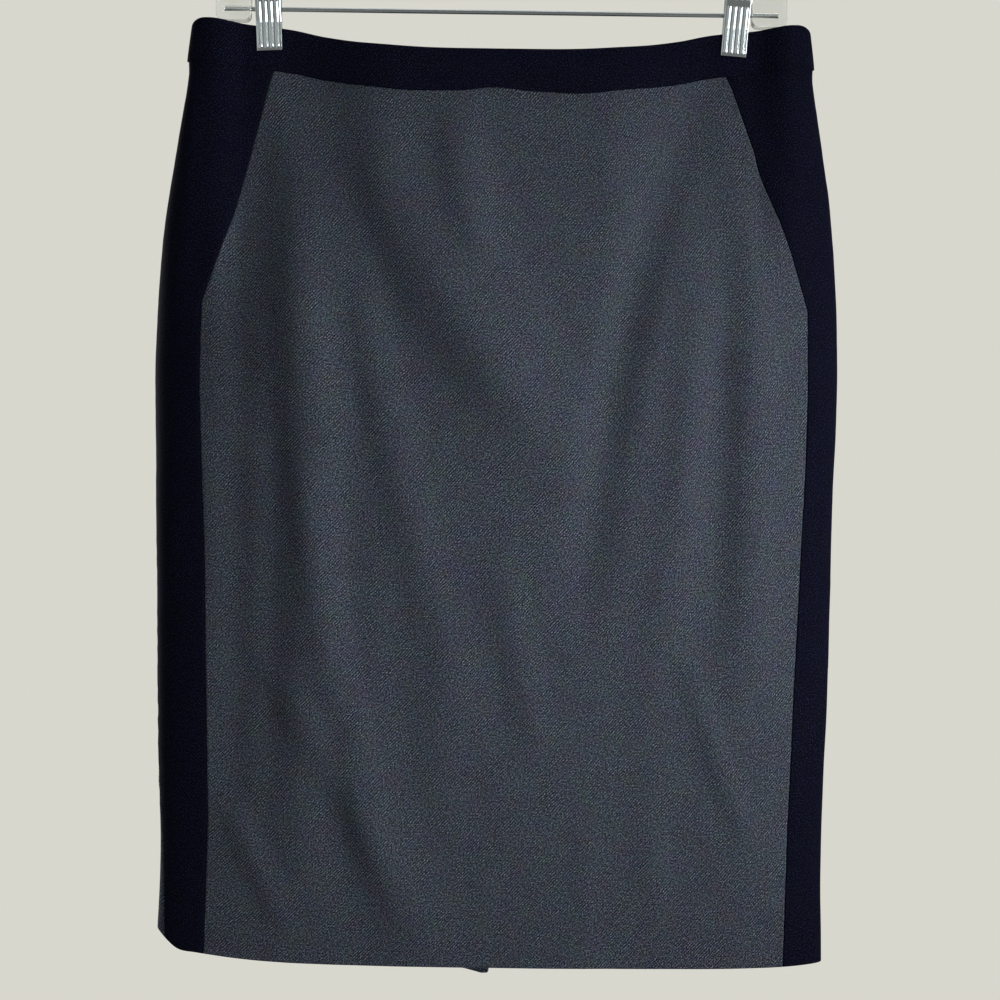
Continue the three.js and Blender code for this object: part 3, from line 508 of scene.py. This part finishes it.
def make_wool_twill(name, ground, dark, light, fleck_share, sheen):
    """Wool twill of one ground colour, with darker and lighter fibres mixed in."""
    wool = bpy.data.materials.new(name)
    wool.use_nodes = True
    tree = wool.node_tree
    tree.nodes.clear()
    cloth = add_node(tree, "ShaderNodeUVMap", {"uv_map": "flat_cloth"}, {})
    bias = add_node(
        tree,
        "ShaderNodeMapping",
        {"Rotation": (0, 0, math.radians(42))},
        {"Vector": cloth.outputs["UV"]},
    )
    ribs = add_node(
        tree,
        "ShaderNodeTexWave",
        {"bands_direction": "X", "Scale": math.pi / 10 / twill_spacing, "Distortion": 3.2,
         "Detail": 2.5, "Detail Scale": 0.8},
        {"Vector": bias.outputs["Vector"]},
    )
    fibres = add_node(
        tree,
        "ShaderNodeTexNoise",
        {"Scale": 1 / fleck_size, "Detail": 3.0, "Roughness": 0.65},
        {"Vector": cloth.outputs["UV"]},
    )
    patches = add_node(
        tree, "ShaderNodeTexNoise", {"Scale": 62.0, "Detail": 3.0}, {"Vector": cloth.outputs["UV"]}
    )
    fibre_ramp = add_node(tree, "ShaderNodeValToRGB", {}, {"Fac": fibres.outputs["Fac"]})
    fibre_ramp.color_ramp.elements[0].position = 0.37
    fibre_ramp.color_ramp.elements[0].color = linear(dark)
    fibre_ramp.color_ramp.elements[1].position = 0.65
    fibre_ramp.color_ramp.elements[1].color = linear(light)
    middle = fibre_ramp.color_ramp.elements.new(0.5)
    middle.color = linear(ground)
    rib_strength = add_node(
        tree,
        "ShaderNodeMapRange",
        {"From Min": 0.38, "From Max": 0.62, "To Min": 0.15, "To Max": 1.0},
        {"Value": patches.outputs["Fac"]},
    )
    # Along the ribs the colour is darker in the grooves and lighter on the crests. This is partly the
    # yarn's own colour and partly painted shade and painted light of the rib relief that the bump also
    # draws.
    rib_colour_and_painted_shade = add_node(
        tree,
        "ShaderNodeMapRange",
        {"To Min": 0.2, "To Max": 1.8},
        {"Value": ribs.outputs["Fac"]},
    )
    ribbed = add_node(
        tree,
        "ShaderNodeMix",
        {"data_type": "RGBA", "blend_type": "MULTIPLY"},
        {0: rib_strength.outputs["Result"], 6: fibre_ramp.outputs["Color"],
         7: rib_colour_and_painted_shade.outputs["Result"]},
    )
    mixed_fibres = add_node(
        tree,
        "ShaderNodeTexNoise",
        {"Scale": 0.5 / fleck_size, "Detail": 2.0},
        {"Vector": bias.outputs["Vector"]},
    )
    flecked = add_node(
        tree,
        "ShaderNodeMix",
        {"data_type": "RGBA", "blend_type": "OVERLAY", 0: fleck_share},
        {6: ribbed.outputs[2], 7: mixed_fibres.outputs["Color"]},
    )
    dye_lots = add_node(
        tree,
        "ShaderNodeTexNoise",
        {"Scale": 75.0, "Detail": 3.0, "Roughness": 0.6},
        {"Vector": cloth.outputs["UV"]},
    )
    mottled = add_node(
        tree,
        "ShaderNodeMix",
        {"data_type": "RGBA", "blend_type": "OVERLAY", 0: 0.25},
        {6: flecked.outputs[2], 7: dye_lots.outputs["Color"]},
    )
    height = add_node(
        tree,
        "ShaderNodeMath",
        {"operation": "MULTIPLY_ADD", 1: 0.7},
        {0: fibres.outputs["Fac"], 2: ribs.outputs["Fac"]},
    )
    bump = add_node(
        tree,
        "ShaderNodeBump",
        {"Strength": 0.36, "Distance": 0.0002},
        {"Height": height.outputs[0]},
    )
    surface = add_node(
        tree,
        "ShaderNodeBsdfPrincipled",
        {"Roughness": 0.92, "Specular IOR Level": 0.04, "Sheen Weight": sheen,
         "Sheen Roughness": 0.45, "Sheen Tint": linear("C9CFD8")},
        {"Base Color": mottled.outputs[2], "Normal": bump.outputs["Normal"]},
    )
    add_node(tree, "ShaderNodeOutputMaterial", {}, {"Surface": surface.outputs[0]})
    return wool


grey_wool = make_wool_twill("grey_wool_twill", "3B414C", "171A20", "707682", 0.24, 0.02)
front_points, front_skip = panel_sheet(
    lambda share: front_seam_angle(1, share), lambda share: front_seam_angle(2, share)
)
front = make_sheet(
    "front_cloth", front_points, flat_coordinates(front_points), cloth_thickness, grey_wool, front_skip
)
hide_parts("front_panel")
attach(front, "skirt")

# Side fronts: dark navy wool twill, wide beside the band, where they show as slanted flashes, and
# narrow below the hip. They are sewn to the front panel and, at the side seams, to the backs.
side_seams = np.array([
    (0, 4, 6), (250, 3, 10), (400, 0, 11), (480, -4, 12), (589, -13, 14),
]).T
navy_wool = make_wool_twill("navy_wool_twill", "090A17", "030408", "22243C", 0.08, 0.005)


def side_seam_angle(side, share):
    """Angle of a side seam. It lies a little behind or before the side fold."""
    behind = np.radians(read_smooth(side_seams[0], side_seams[side], share * panel_length))
    return -math.pi / 2 - behind if side == 1 else math.pi / 2 + behind


for side_name, edges in (
    ("left", (lambda s: side_seam_angle(1, s), lambda s: front_seam_angle(1, s))),
    ("right", (lambda s: front_seam_angle(2, s), lambda s: side_seam_angle(2, s))),
):
    side_points, side_skip = panel_sheet(*edges)
    side_front = make_sheet(
        f"side_front_{side_name}_cloth",
        side_points,
        flat_coordinates(side_points),
        cloth_thickness,
        navy_wool,
        side_skip,
    )
    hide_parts(f"side_front_{side_name}")
    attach(side_front, "skirt")

# Backs: grey wool twill, left and right, each with one dart under the band. They meet at the
# centre back in the zip, then in a seam, and part at the vent, where the left one lies on top.
back_edges = (
    ("left", lambda s: np.full_like(s, -math.pi), lambda s: side_seam_angle(1, s), 0.249),
    ("right", lambda s: side_seam_angle(2, s), lambda s: np.full_like(s, math.pi), 0.746),
)
for side_name, left_edge, right_edge, dart_place in back_edges:
    back_points, back_skip = panel_sheet(left_edge, right_edge, fine_places=[dart_place])
    back = make_sheet(
        f"back_{side_name}_cloth",
        back_points,
        flat_coordinates(back_points),
        cloth_thickness,
        grey_wool,
        back_skip,
    )
    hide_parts(f"back_panel_{side_name}")
    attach(back, "skirt")

# Vent underlap: a strip of the grey twill sewn to the right back's edge. It lies behind the left
# back down the vent, with its free edge and its hem turned in.
underlap_from, underlap_to = 8.0, -40.0
underlap_top_share = 1 - 164.6 / panel_length


def back_angle(x, share):
    """Angle on the back, counted past the right side, of a point at x."""
    return math.pi - np.arcsin(x / half_width_at(share))


underlap_shares = np.r_[
    np.linspace(underlap_top_share, 1 - 0.8 / panel_length, 42), 1.0, 1.0, 1 - 0.8 / panel_length,
    1 - np.array([8, 20, 34]) / panel_length,
]
underlap_depths = np.r_[np.zeros(42), 0.5, 1.5, 2.0, 2.0, 2.0, 2.0]
underlap_across = np.r_[
    np.linspace(underlap_from, underlap_to + 1, 14), underlap_to, underlap_to, underlap_to + 1,
    underlap_to + 6, underlap_to + 12,
]
underlap_turned = np.r_[np.zeros(14), 0.5, 1.5, 2.0, 2.0, 2.0]
underlap_in = np.maximum(underlap_depths[:, None], underlap_turned)
underlap_in = underlap_in + 1.1 * (underlap_depths[:, None] >= 2) * (underlap_turned >= 2)
underlap_points = cloth_point(
    back_angle(underlap_across, underlap_shares[:, None]),
    underlap_shares[:, None],
    -2.35 - underlap_in,
)
underlap = make_sheet(
    "vent_underlap_cloth", underlap_points, flat_coordinates(underlap_points), 0.9, grey_wool
)
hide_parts("vent_underlap")
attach(underlap, "skirt")

# Waistband: one straight strip of the navy twill, folded over at the top with the panels' upper
# edges caught between its leaves. It ends on both sides of a slit at the centre back.
band_leaf = 0.9
band_outer, band_inner = 1.0, -2.0
band_fold_radius = 1.5
zip_slit = 3.0
band_turns = np.radians(np.arange(0, 181, 20))
band_rises = np.r_[
    1.4, 0.55, 0.22, 0.15, 0.3, 0.8, np.linspace(2.5, band_height - band_fold_radius - 1.5, 9),
    band_height - band_fold_radius + band_fold_radius * np.sin(band_turns),
    np.linspace(band_height - 4.5, 0.4, 8),
]
band_offsets = np.r_[
    0.1, 0.15, 0.35, 0.6, 0.85, 0.98, np.full(9, band_outer),
    -0.5 + band_fold_radius * np.cos(band_turns), np.full(8, band_inner),
]
band_slit_turn = turn_for(np.array(math.pi), np.array(0.0)) * zip_slit / 2
band_end_steps = np.array([0, 0.15, 0.5, 1.0, 1.5, 3.0]) * band_slit_turn / (zip_slit / 2)
band_angles = np.r_[
    -math.pi + band_slit_turn + band_end_steps,
    np.linspace(-math.pi + 0.04, math.pi - 0.04, 300),
    math.pi - band_slit_turn - band_end_steps[::-1],
]
band_from_end = np.minimum(band_angles + math.pi, math.pi - band_angles) - band_slit_turn
band_from_end = band_from_end / band_slit_turn * zip_slit / 2
band_fullness = np.sqrt(1 - (1 - np.clip(band_from_end / 1.5, 0, 1)) ** 2)
band_push = -0.5 + (band_offsets[:, None] + 0.5) * band_fullness
band_points = cloth_point(band_angles, -band_rises[:, None] / band_height, band_push)
band_points = band_points[::-1]
band = make_sheet(
    "waistband_cloth", band_points, flat_coordinates(band_points), band_leaf, navy_wool
)
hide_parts("waistband")
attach(band, "skirt")

# Zip: two navy polyester tapes sewn inside the centre back, each with a nylon coil along its
# edge, and an enamelled zinc slider with its pull tab.
tape_navy = bpy.data.materials.new("woven_polyester_tape")
tape_navy.use_nodes = True
tape_tree = tape_navy.node_tree
tape_tree.nodes.clear()
tape_place = add_node(tape_tree, "ShaderNodeTexCoord", {}, {})
tape_weave = add_node(
    tape_tree,
    "ShaderNodeTexWave",
    {"bands_direction": "Z", "Scale": math.pi / 10 / 0.0006, "Distortion": 0.6},
    {"Vector": tape_place.outputs["Object"]},
)
tape_shade = add_node(tape_tree, "ShaderNodeValToRGB", {}, {"Fac": tape_weave.outputs["Fac"]})
tape_shade.color_ramp.elements[0].color = linear("0A0A12")
tape_shade.color_ramp.elements[1].color = linear("1C1D28")
tape_bump = add_node(
    tape_tree,
    "ShaderNodeBump",
    {"Strength": 0.4, "Distance": 0.0001},
    {"Height": tape_weave.outputs["Fac"]},
)
tape_surface = add_node(
    tape_tree,
    "ShaderNodeBsdfPrincipled",
    {"Roughness": 0.7, "Specular IOR Level": 0.4},
    {"Base Color": tape_shade.outputs["Color"], "Normal": tape_bump.outputs["Normal"]},
)
add_node(tape_tree, "ShaderNodeOutputMaterial", {}, {"Surface": tape_surface.outputs[0]})
tape_width = 12.5
tape_depth = -2.3
tape_gap = 0.15
zip_opening = 161
zip_end_share = zip_opening / panel_length
tape_shares = np.r_[np.linspace(-1 + 1 / band_height, 0, 8), np.linspace(0, zip_end_share, 42)[1:]]
for side_name, from_x, to_x in (
    ("right", zip_slit / 2 + tape_gap + tape_width, zip_slit / 2 + tape_gap),
    ("left", -zip_slit / 2 - tape_gap, -zip_slit / 2 - tape_gap - tape_width),
):
    tape_points = cloth_point(
        back_angle(np.linspace(from_x, to_x, 7), tape_shares[:, None]),
        tape_shares[:, None],
        tape_depth,
    )
    tape = make_sheet(
        f"zip_tape_{side_name}_woven", tape_points, flat_coordinates(tape_points), 0.6, tape_navy
    )
    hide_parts(f"zip_tape_{side_name}")
    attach(tape, "skirt")


def make_tube(name, path, radius, sides, material):
    """A round wire along a path of points in mm, closed at its ends."""
    path = np.asarray(path, float)
    ahead = np.gradient(path, axis=0)
    ahead /= np.linalg.norm(ahead, axis=1, keepdims=True)
    normal = np.cross(ahead[0], (0.31, 0.52, 0.79))
    rings = []
    for point, way in zip(path, ahead):
        normal = normal - way * np.dot(normal, way)
        normal = normal / np.linalg.norm(normal)
        turns = np.arange(sides)[:, None] * 2 * math.pi / sides
        rings.append(point + radius * (np.cos(turns) * normal + np.sin(turns) * np.cross(way, normal)))
    count = len(path)
    start = np.arange(count - 1)[:, None] * sides + np.arange(sides)
    following = np.arange(count - 1)[:, None] * sides + (np.arange(sides) + 1) % sides
    quads = np.stack([start, following, following + sides, start + sides], -1).reshape(-1, 4)
    ends = [list(range(sides))[::-1], [(count - 1) * sides + side for side in range(sides)]]
    mesh = bpy.data.meshes.new(name)
    mesh.from_pydata((np.concatenate(rings) / 1000).tolist(), [], quads.tolist() + ends)
    tube = bpy.data.objects.new(name, mesh)
    bpy.context.scene.collection.objects.link(tube)
    bpy.ops.object.select_all(action="DESELECT")
    tube.select_set(True)
    bpy.context.view_layer.objects.active = tube
    bpy.ops.object.shade_smooth_by_angle(angle=math.radians(50))
    mesh.materials.append(material)
    return tube


def join_pieces(name, pieces):
    """Joins pieces into the first, under a new name."""
    bpy.ops.object.select_all(action="DESELECT")
    for piece in pieces:
        piece.select_set(True)
    bpy.context.view_layer.objects.active = pieces[0]
    bpy.ops.object.join()
    pieces[0].name = name
    return pieces[0]


coil_pitch = 1.2
coil_top_share = -1 + 15 / band_height
coil_in_band = 14
coil_length = coil_in_band + zip_opening
coil_turn = np.arange(0, coil_length / coil_pitch * 8) / 8
coil_down = coil_turn * coil_pitch
coil_share = np.where(
    coil_down < coil_in_band,
    coil_top_share + coil_down / band_height,
    (coil_down - coil_in_band) / panel_length,
)
coils = []
for side in (-1, 1):
    coil_x = side * 0.72 - side * 0.5 * np.cos(coil_turn * 2 * math.pi)
    coil_depth = -3.15 + 0.6 * np.sin(coil_turn * 2 * math.pi)
    coil_path = cloth_point(back_angle(coil_x, coil_share), coil_share, coil_depth)
    coils.append(make_tube("zip_coil_turns", coil_path, 0.22, 5, tape_navy))
coil = join_pieces("zip_coil_turns", coils)
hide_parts("zip_coil")
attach(coil, "skirt")

# Slider and pull tab, cast zinc with a navy baked enamel: smooth, half gloss, worn a little
enamel = bpy.data.materials.new("navy_enamelled_zinc")
enamel.use_nodes = True
enamel_tree = enamel.node_tree
enamel_tree.nodes.clear()
enamel_place = add_node(enamel_tree, "ShaderNodeTexCoord", {}, {})
enamel_wear = add_node(
    enamel_tree,
    "ShaderNodeTexNoise",
    {"Scale": 900.0, "Detail": 3.0},
    {"Vector": enamel_place.outputs["Object"]},
)
enamel_shade = add_node(enamel_tree, "ShaderNodeValToRGB", {}, {"Fac": enamel_wear.outputs["Fac"]})
enamel_shade.color_ramp.elements[0].color = linear("12131C")
enamel_shade.color_ramp.elements[1].color = linear("21232E")
enamel_gloss = add_node(
    enamel_tree,
    "ShaderNodeMapRange",
    {"To Min": 0.28, "To Max": 0.45},
    {"Value": enamel_wear.outputs["Fac"]},
)
enamel_surface = add_node(
    enamel_tree,
    "ShaderNodeBsdfPrincipled",
    {"Metallic": 0.0, "Specular IOR Level": 0.5},
    {"Base Color": enamel_shade.outputs["Color"], "Roughness": enamel_gloss.outputs["Result"]},
)
add_node(enamel_tree, "ShaderNodeOutputMaterial", {}, {"Surface": enamel_surface.outputs[0]})
for node_name in ("zip_slider", "zip_pull"):
    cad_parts[node_name].data.materials.clear()
    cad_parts[node_name].data.materials.append(enamel)

# Hanger: a clear moulded body with an end block on each arm, a steel rod through the blocks and a
# steel wire hook in its hub.
plastic = bpy.data.materials.new("clear_moulded_polystyrene")
plastic.use_nodes = True
plastic_tree = plastic.node_tree
plastic_tree.nodes.clear()
plastic_place = add_node(plastic_tree, "ShaderNodeTexCoord", {}, {})
plastic_flow = add_node(
    plastic_tree,
    "ShaderNodeTexNoise",
    {"Scale": 120.0, "Detail": 2.0},
    {"Vector": plastic_place.outputs["Object"]},
)
plastic_bump = add_node(
    plastic_tree,
    "ShaderNodeBump",
    {"Strength": 0.12, "Distance": 0.0003},
    {"Height": plastic_flow.outputs["Fac"]},
)
plastic_surface = add_node(
    plastic_tree,
    "ShaderNodeBsdfPrincipled",
    {"Base Color": linear("F0F2F1"), "Roughness": 0.1, "IOR": 1.5, "Transmission Weight": 0.97},
    {"Normal": plastic_bump.outputs["Normal"]},
)
add_node(plastic_tree, "ShaderNodeOutputMaterial", {}, {"Surface": plastic_surface.outputs[0]})

body_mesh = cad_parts["hanger_body"].data.copy()
hanger = bpy.data.objects.new("hanger_moulding", body_mesh)
bpy.context.scene.collection.objects.link(hanger)
bpy.ops.object.select_all(action="DESELECT")
hanger.select_set(True)
bpy.context.view_layer.objects.active = hanger
bpy.ops.object.mode_set(mode="EDIT")
bpy.ops.mesh.select_all(action="SELECT")
bpy.ops.mesh.remove_doubles(threshold=0.00001)
bpy.ops.mesh.dissolve_limited(angle_limit=math.radians(1))
bpy.ops.object.mode_set(mode="OBJECT")
bpy.ops.object.modifier_add(type="BEVEL")
hanger.modifiers[-1].width = 0.0008
hanger.modifiers[-1].segments = 3
hanger.modifiers[-1].limit_method = "ANGLE"
hanger.modifiers[-1].angle_limit = math.radians(50)
bpy.ops.object.modifier_apply(modifier=hanger.modifiers[-1].name)
bpy.ops.object.shade_smooth_by_angle(angle=math.radians(35))
body_mesh.materials.clear()
body_mesh.materials.append(plastic)
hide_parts("hanger_body")
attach(hanger, "skirt")

# Bright chromium-plated steel of the rod, hook and clips: drawn or pressed, then plated and buffed,
# so it mirrors the room softly, with faint streaks.
plated = bpy.data.materials.new("chromium_plated_steel")
plated.use_nodes = True
plated_tree = plated.node_tree
plated_tree.nodes.clear()
plated_place = add_node(plated_tree, "ShaderNodeTexCoord", {}, {})
plated_streaks = add_node(
    plated_tree,
    "ShaderNodeTexNoise",
    {"Scale": 2600.0, "Detail": 1.0},
    {"Vector": plated_place.outputs["Object"]},
)
plated_gloss = add_node(
    plated_tree,
    "ShaderNodeMapRange",
    {"To Min": 0.2, "To Max": 0.27},
    {"Value": plated_streaks.outputs["Fac"]},
)
plated_surface = add_node(
    plated_tree,
    "ShaderNodeBsdfPrincipled",
    {"Base Color": linear("B3BCC1"), "Metallic": 1.0},
    {"Roughness": plated_gloss.outputs["Result"]},
)
add_node(plated_tree, "ShaderNodeOutputMaterial", {}, {"Surface": plated_surface.outputs[0]})

rod_level = -115.0
rod_path = [(x, 0, rod_level) for x in (-182, -181.8, -181.3, 0, 181.3, 181.8, 182)]
rod = make_tube("rod_steel", rod_path, 1.5, 40, plated)
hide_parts("hanger_rod")
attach(rod, "skirt")

hook_radius, hook_wire = 21.6, 1.6
hook_turns = np.radians(np.linspace(-45, 195, 49))
hook_start = np.array([(0, 0, -65.5), (0, 0, -60), (0, 0, -55), (1.2, 0, -48), (8, 0, -41.5)])
hook_arc = np.c_[
    hook_radius * np.cos(hook_turns), np.zeros(49), -20 + hook_radius * np.sin(hook_turns)
]
hook_rough = np.r_[hook_start, hook_arc[::6]]
hook_gone = np.r_[0, np.cumsum(np.linalg.norm(np.diff(hook_rough, axis=0), axis=1))]
hook_fine = np.linspace(0, hook_gone[-1], 120)
hook_path = np.stack([read_smooth(hook_gone, hook_rough[:, i], hook_fine) for i in range(3)], -1)
hook = make_tube("hook_wire", hook_path, hook_wire, 20, plated)
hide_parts("hanger_hook")
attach(hook, "skirt")

# Clips: two pressed and plated plates each, ribbed for the fingers, with ears that turn on the
# rod, and a wound spring between them that shuts the jaws on the band.
clip_width = 16.6
clip_sheet = 1.2
rib_spacing, rib_height, rib_foot = 3.75, 0.75, 2.3
clip_rows = np.array([
    (-28, 5.5, 0), (-27.4, 5.35, 0), (-26.6, 4.75, 0), (-26, 4.7, 0), (-24.8, 4.7, 1),
    (-9, 4.7, 1), (3.4, 7.3, 1), (4.8, 7.6, 0), (8.2, 8.5, 0), (9.6, 8.8, 1), (22.6, 11.4, 1),
    (26, 11.8, 0),
]).T
ear_radius, ear_sheet = 4.3, 1.0
spring_radius, spring_wire, spring_turns = 2.85, 0.6, 7.5


def clip_plate(name, ear_x, flip):
    """A clip's plate with its two ears, on a rod through the origin along X."""
    x = np.linspace(-clip_width / 2, clip_width / 2, 61)
    away = np.abs((x[:, None] - (np.arange(4) - 1.5) * rib_spacing)).min(axis=1)
    rise = rib_height * np.cos(np.minimum(away / rib_foot, 0.5) * math.pi)
    edge = np.maximum(np.abs(x) - clip_width / 2 + 0.8, 0)
    up = np.r_[np.linspace(26, 4, 34), np.linspace(3.4, -9, 10), np.linspace(-10, -28, 28)]
    out = np.interp(up, clip_rows[0], clip_rows[1])
    ribbed = smoothstep(np.interp(up, clip_rows[0], clip_rows[2]), 0, 1)
    y = -out[:, None] - ribbed[:, None] * rise + 0.5 * edge**2
    points = np.stack(np.broadcast_arrays(x, y, up[:, None]), -1)
    plate = make_sheet(name, points, points[..., [0, 2]] / 1000, clip_sheet - 0.2, plated)
    pieces = [plate]
    for side in (-1, 1):
        turns = np.radians(np.arange(-90, 91, 12))
        outline = [(-5.1, -5.4)] + [
            (ear_radius * math.cos(turn), ear_radius * math.sin(turn)) for turn in turns
        ] + [(-7.1, 5)]
        bpy.ops.object.select_all(action="DESELECT")
        mesh = bpy.data.meshes.new(name + "_ear")
        mesh.from_pydata(
            [((side * ear_x - ear_sheet / 2) / 1000, y / 1000, z / 1000) for y, z in outline],
            [],
            [list(range(len(outline)))],
        )
        mesh.uv_layers.new(name="flat_cloth")
        ear = bpy.data.objects.new(name + "_ear", mesh)
        bpy.context.scene.collection.objects.link(ear)
        ear.select_set(True)
        bpy.context.view_layer.objects.active = ear
        bpy.ops.object.mode_set(mode="EDIT")
        bpy.ops.mesh.select_all(action="SELECT")
        bpy.ops.mesh.extrude_region_move(TRANSFORM_OT_translate={"value": (ear_sheet / 1000, 0, 0)})
        bpy.ops.mesh.select_all(action="SELECT")
        bpy.ops.mesh.normals_make_consistent(inside=False)
        bpy.ops.object.mode_set(mode="OBJECT")
        bpy.ops.object.modifier_add(type="BEVEL")
        ear.modifiers[-1].width = 0.0003
        ear.modifiers[-1].segments = 2
        ear.modifiers[-1].angle_limit = math.radians(50)
        bpy.ops.object.modifier_apply(modifier=ear.modifiers[-1].name)
        bpy.ops.object.shade_smooth_by_angle(angle=math.radians(35))
        mesh.materials.append(plated)
        pieces.append(ear)
    plate = join_pieces(name, pieces)
    if flip:
        bpy.ops.transform.rotate(
            value=math.pi, orient_axis="Z", center_override=(0, 0, 0), orient_type="GLOBAL"
        )
    return plate


def place_on_rod(piece, x, lean):
    """Leans a piece about the rod's middle and moves it along to its place."""
    bpy.ops.object.select_all(action="DESELECT")
    piece.select_set(True)
    bpy.context.view_layer.objects.active = piece
    piece.rotation_euler = (piece.rotation_euler[0], math.radians(lean), piece.rotation_euler[2])
    piece.location = (x / 1000, 0, rod_level / 1000)
    bpy.ops.object.transform_apply(location=True, rotation=True, scale=True)


for side_name, clip_x, lean in (("left", -153.7, -3.0), ("right", 155.2, 4.4)):
    outer_ear = clip_width / 2 - ear_sheet / 2
    inner_ear = outer_ear - ear_sheet - 0.3
    front_plate = clip_plate(f"clip_{side_name}_front_plate", outer_ear, False)
    back_plate = clip_plate(f"clip_{side_name}_back_plate", inner_ear, True)
    bpy.ops.object.transform_apply(location=True, rotation=True, scale=True)
    coil_half = inner_ear - ear_sheet / 2 - 0.9
    turn = np.linspace(0, spring_turns, 150)
    wound = np.c_[
        -coil_half + 2 * coil_half * turn / spring_turns,
        -spring_radius * np.cos(turn * 2 * math.pi),
        spring_radius * np.sin(turn * 2 * math.pi),
    ]
    first_leg = np.array([(-coil_half, -5.6, -14.0), (-coil_half, -4.6, -8.0), (-coil_half, -3.2, -2.0)])
    last_leg = np.array([(coil_half, 3.2, -2.0), (coil_half, 4.6, -8.0), (coil_half, 5.6, -14.0)])
    first_leg[:, 1] += 1.5
    last_leg[:, 1] -= 1.5
    spring = make_tube(
        f"clip_{side_name}_spring_wire", np.r_[first_leg, wound, last_leg], spring_wire, 8, plated
    )
    for piece, node_name in (
        (front_plate, f"clip_{side_name}_front"),
        (back_plate, f"clip_{side_name}_back"),
        (spring, f"clip_{side_name}_spring"),
    ):
        place_on_rod(piece, clip_x, lean)
        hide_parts(node_name)
        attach(piece, "skirt")
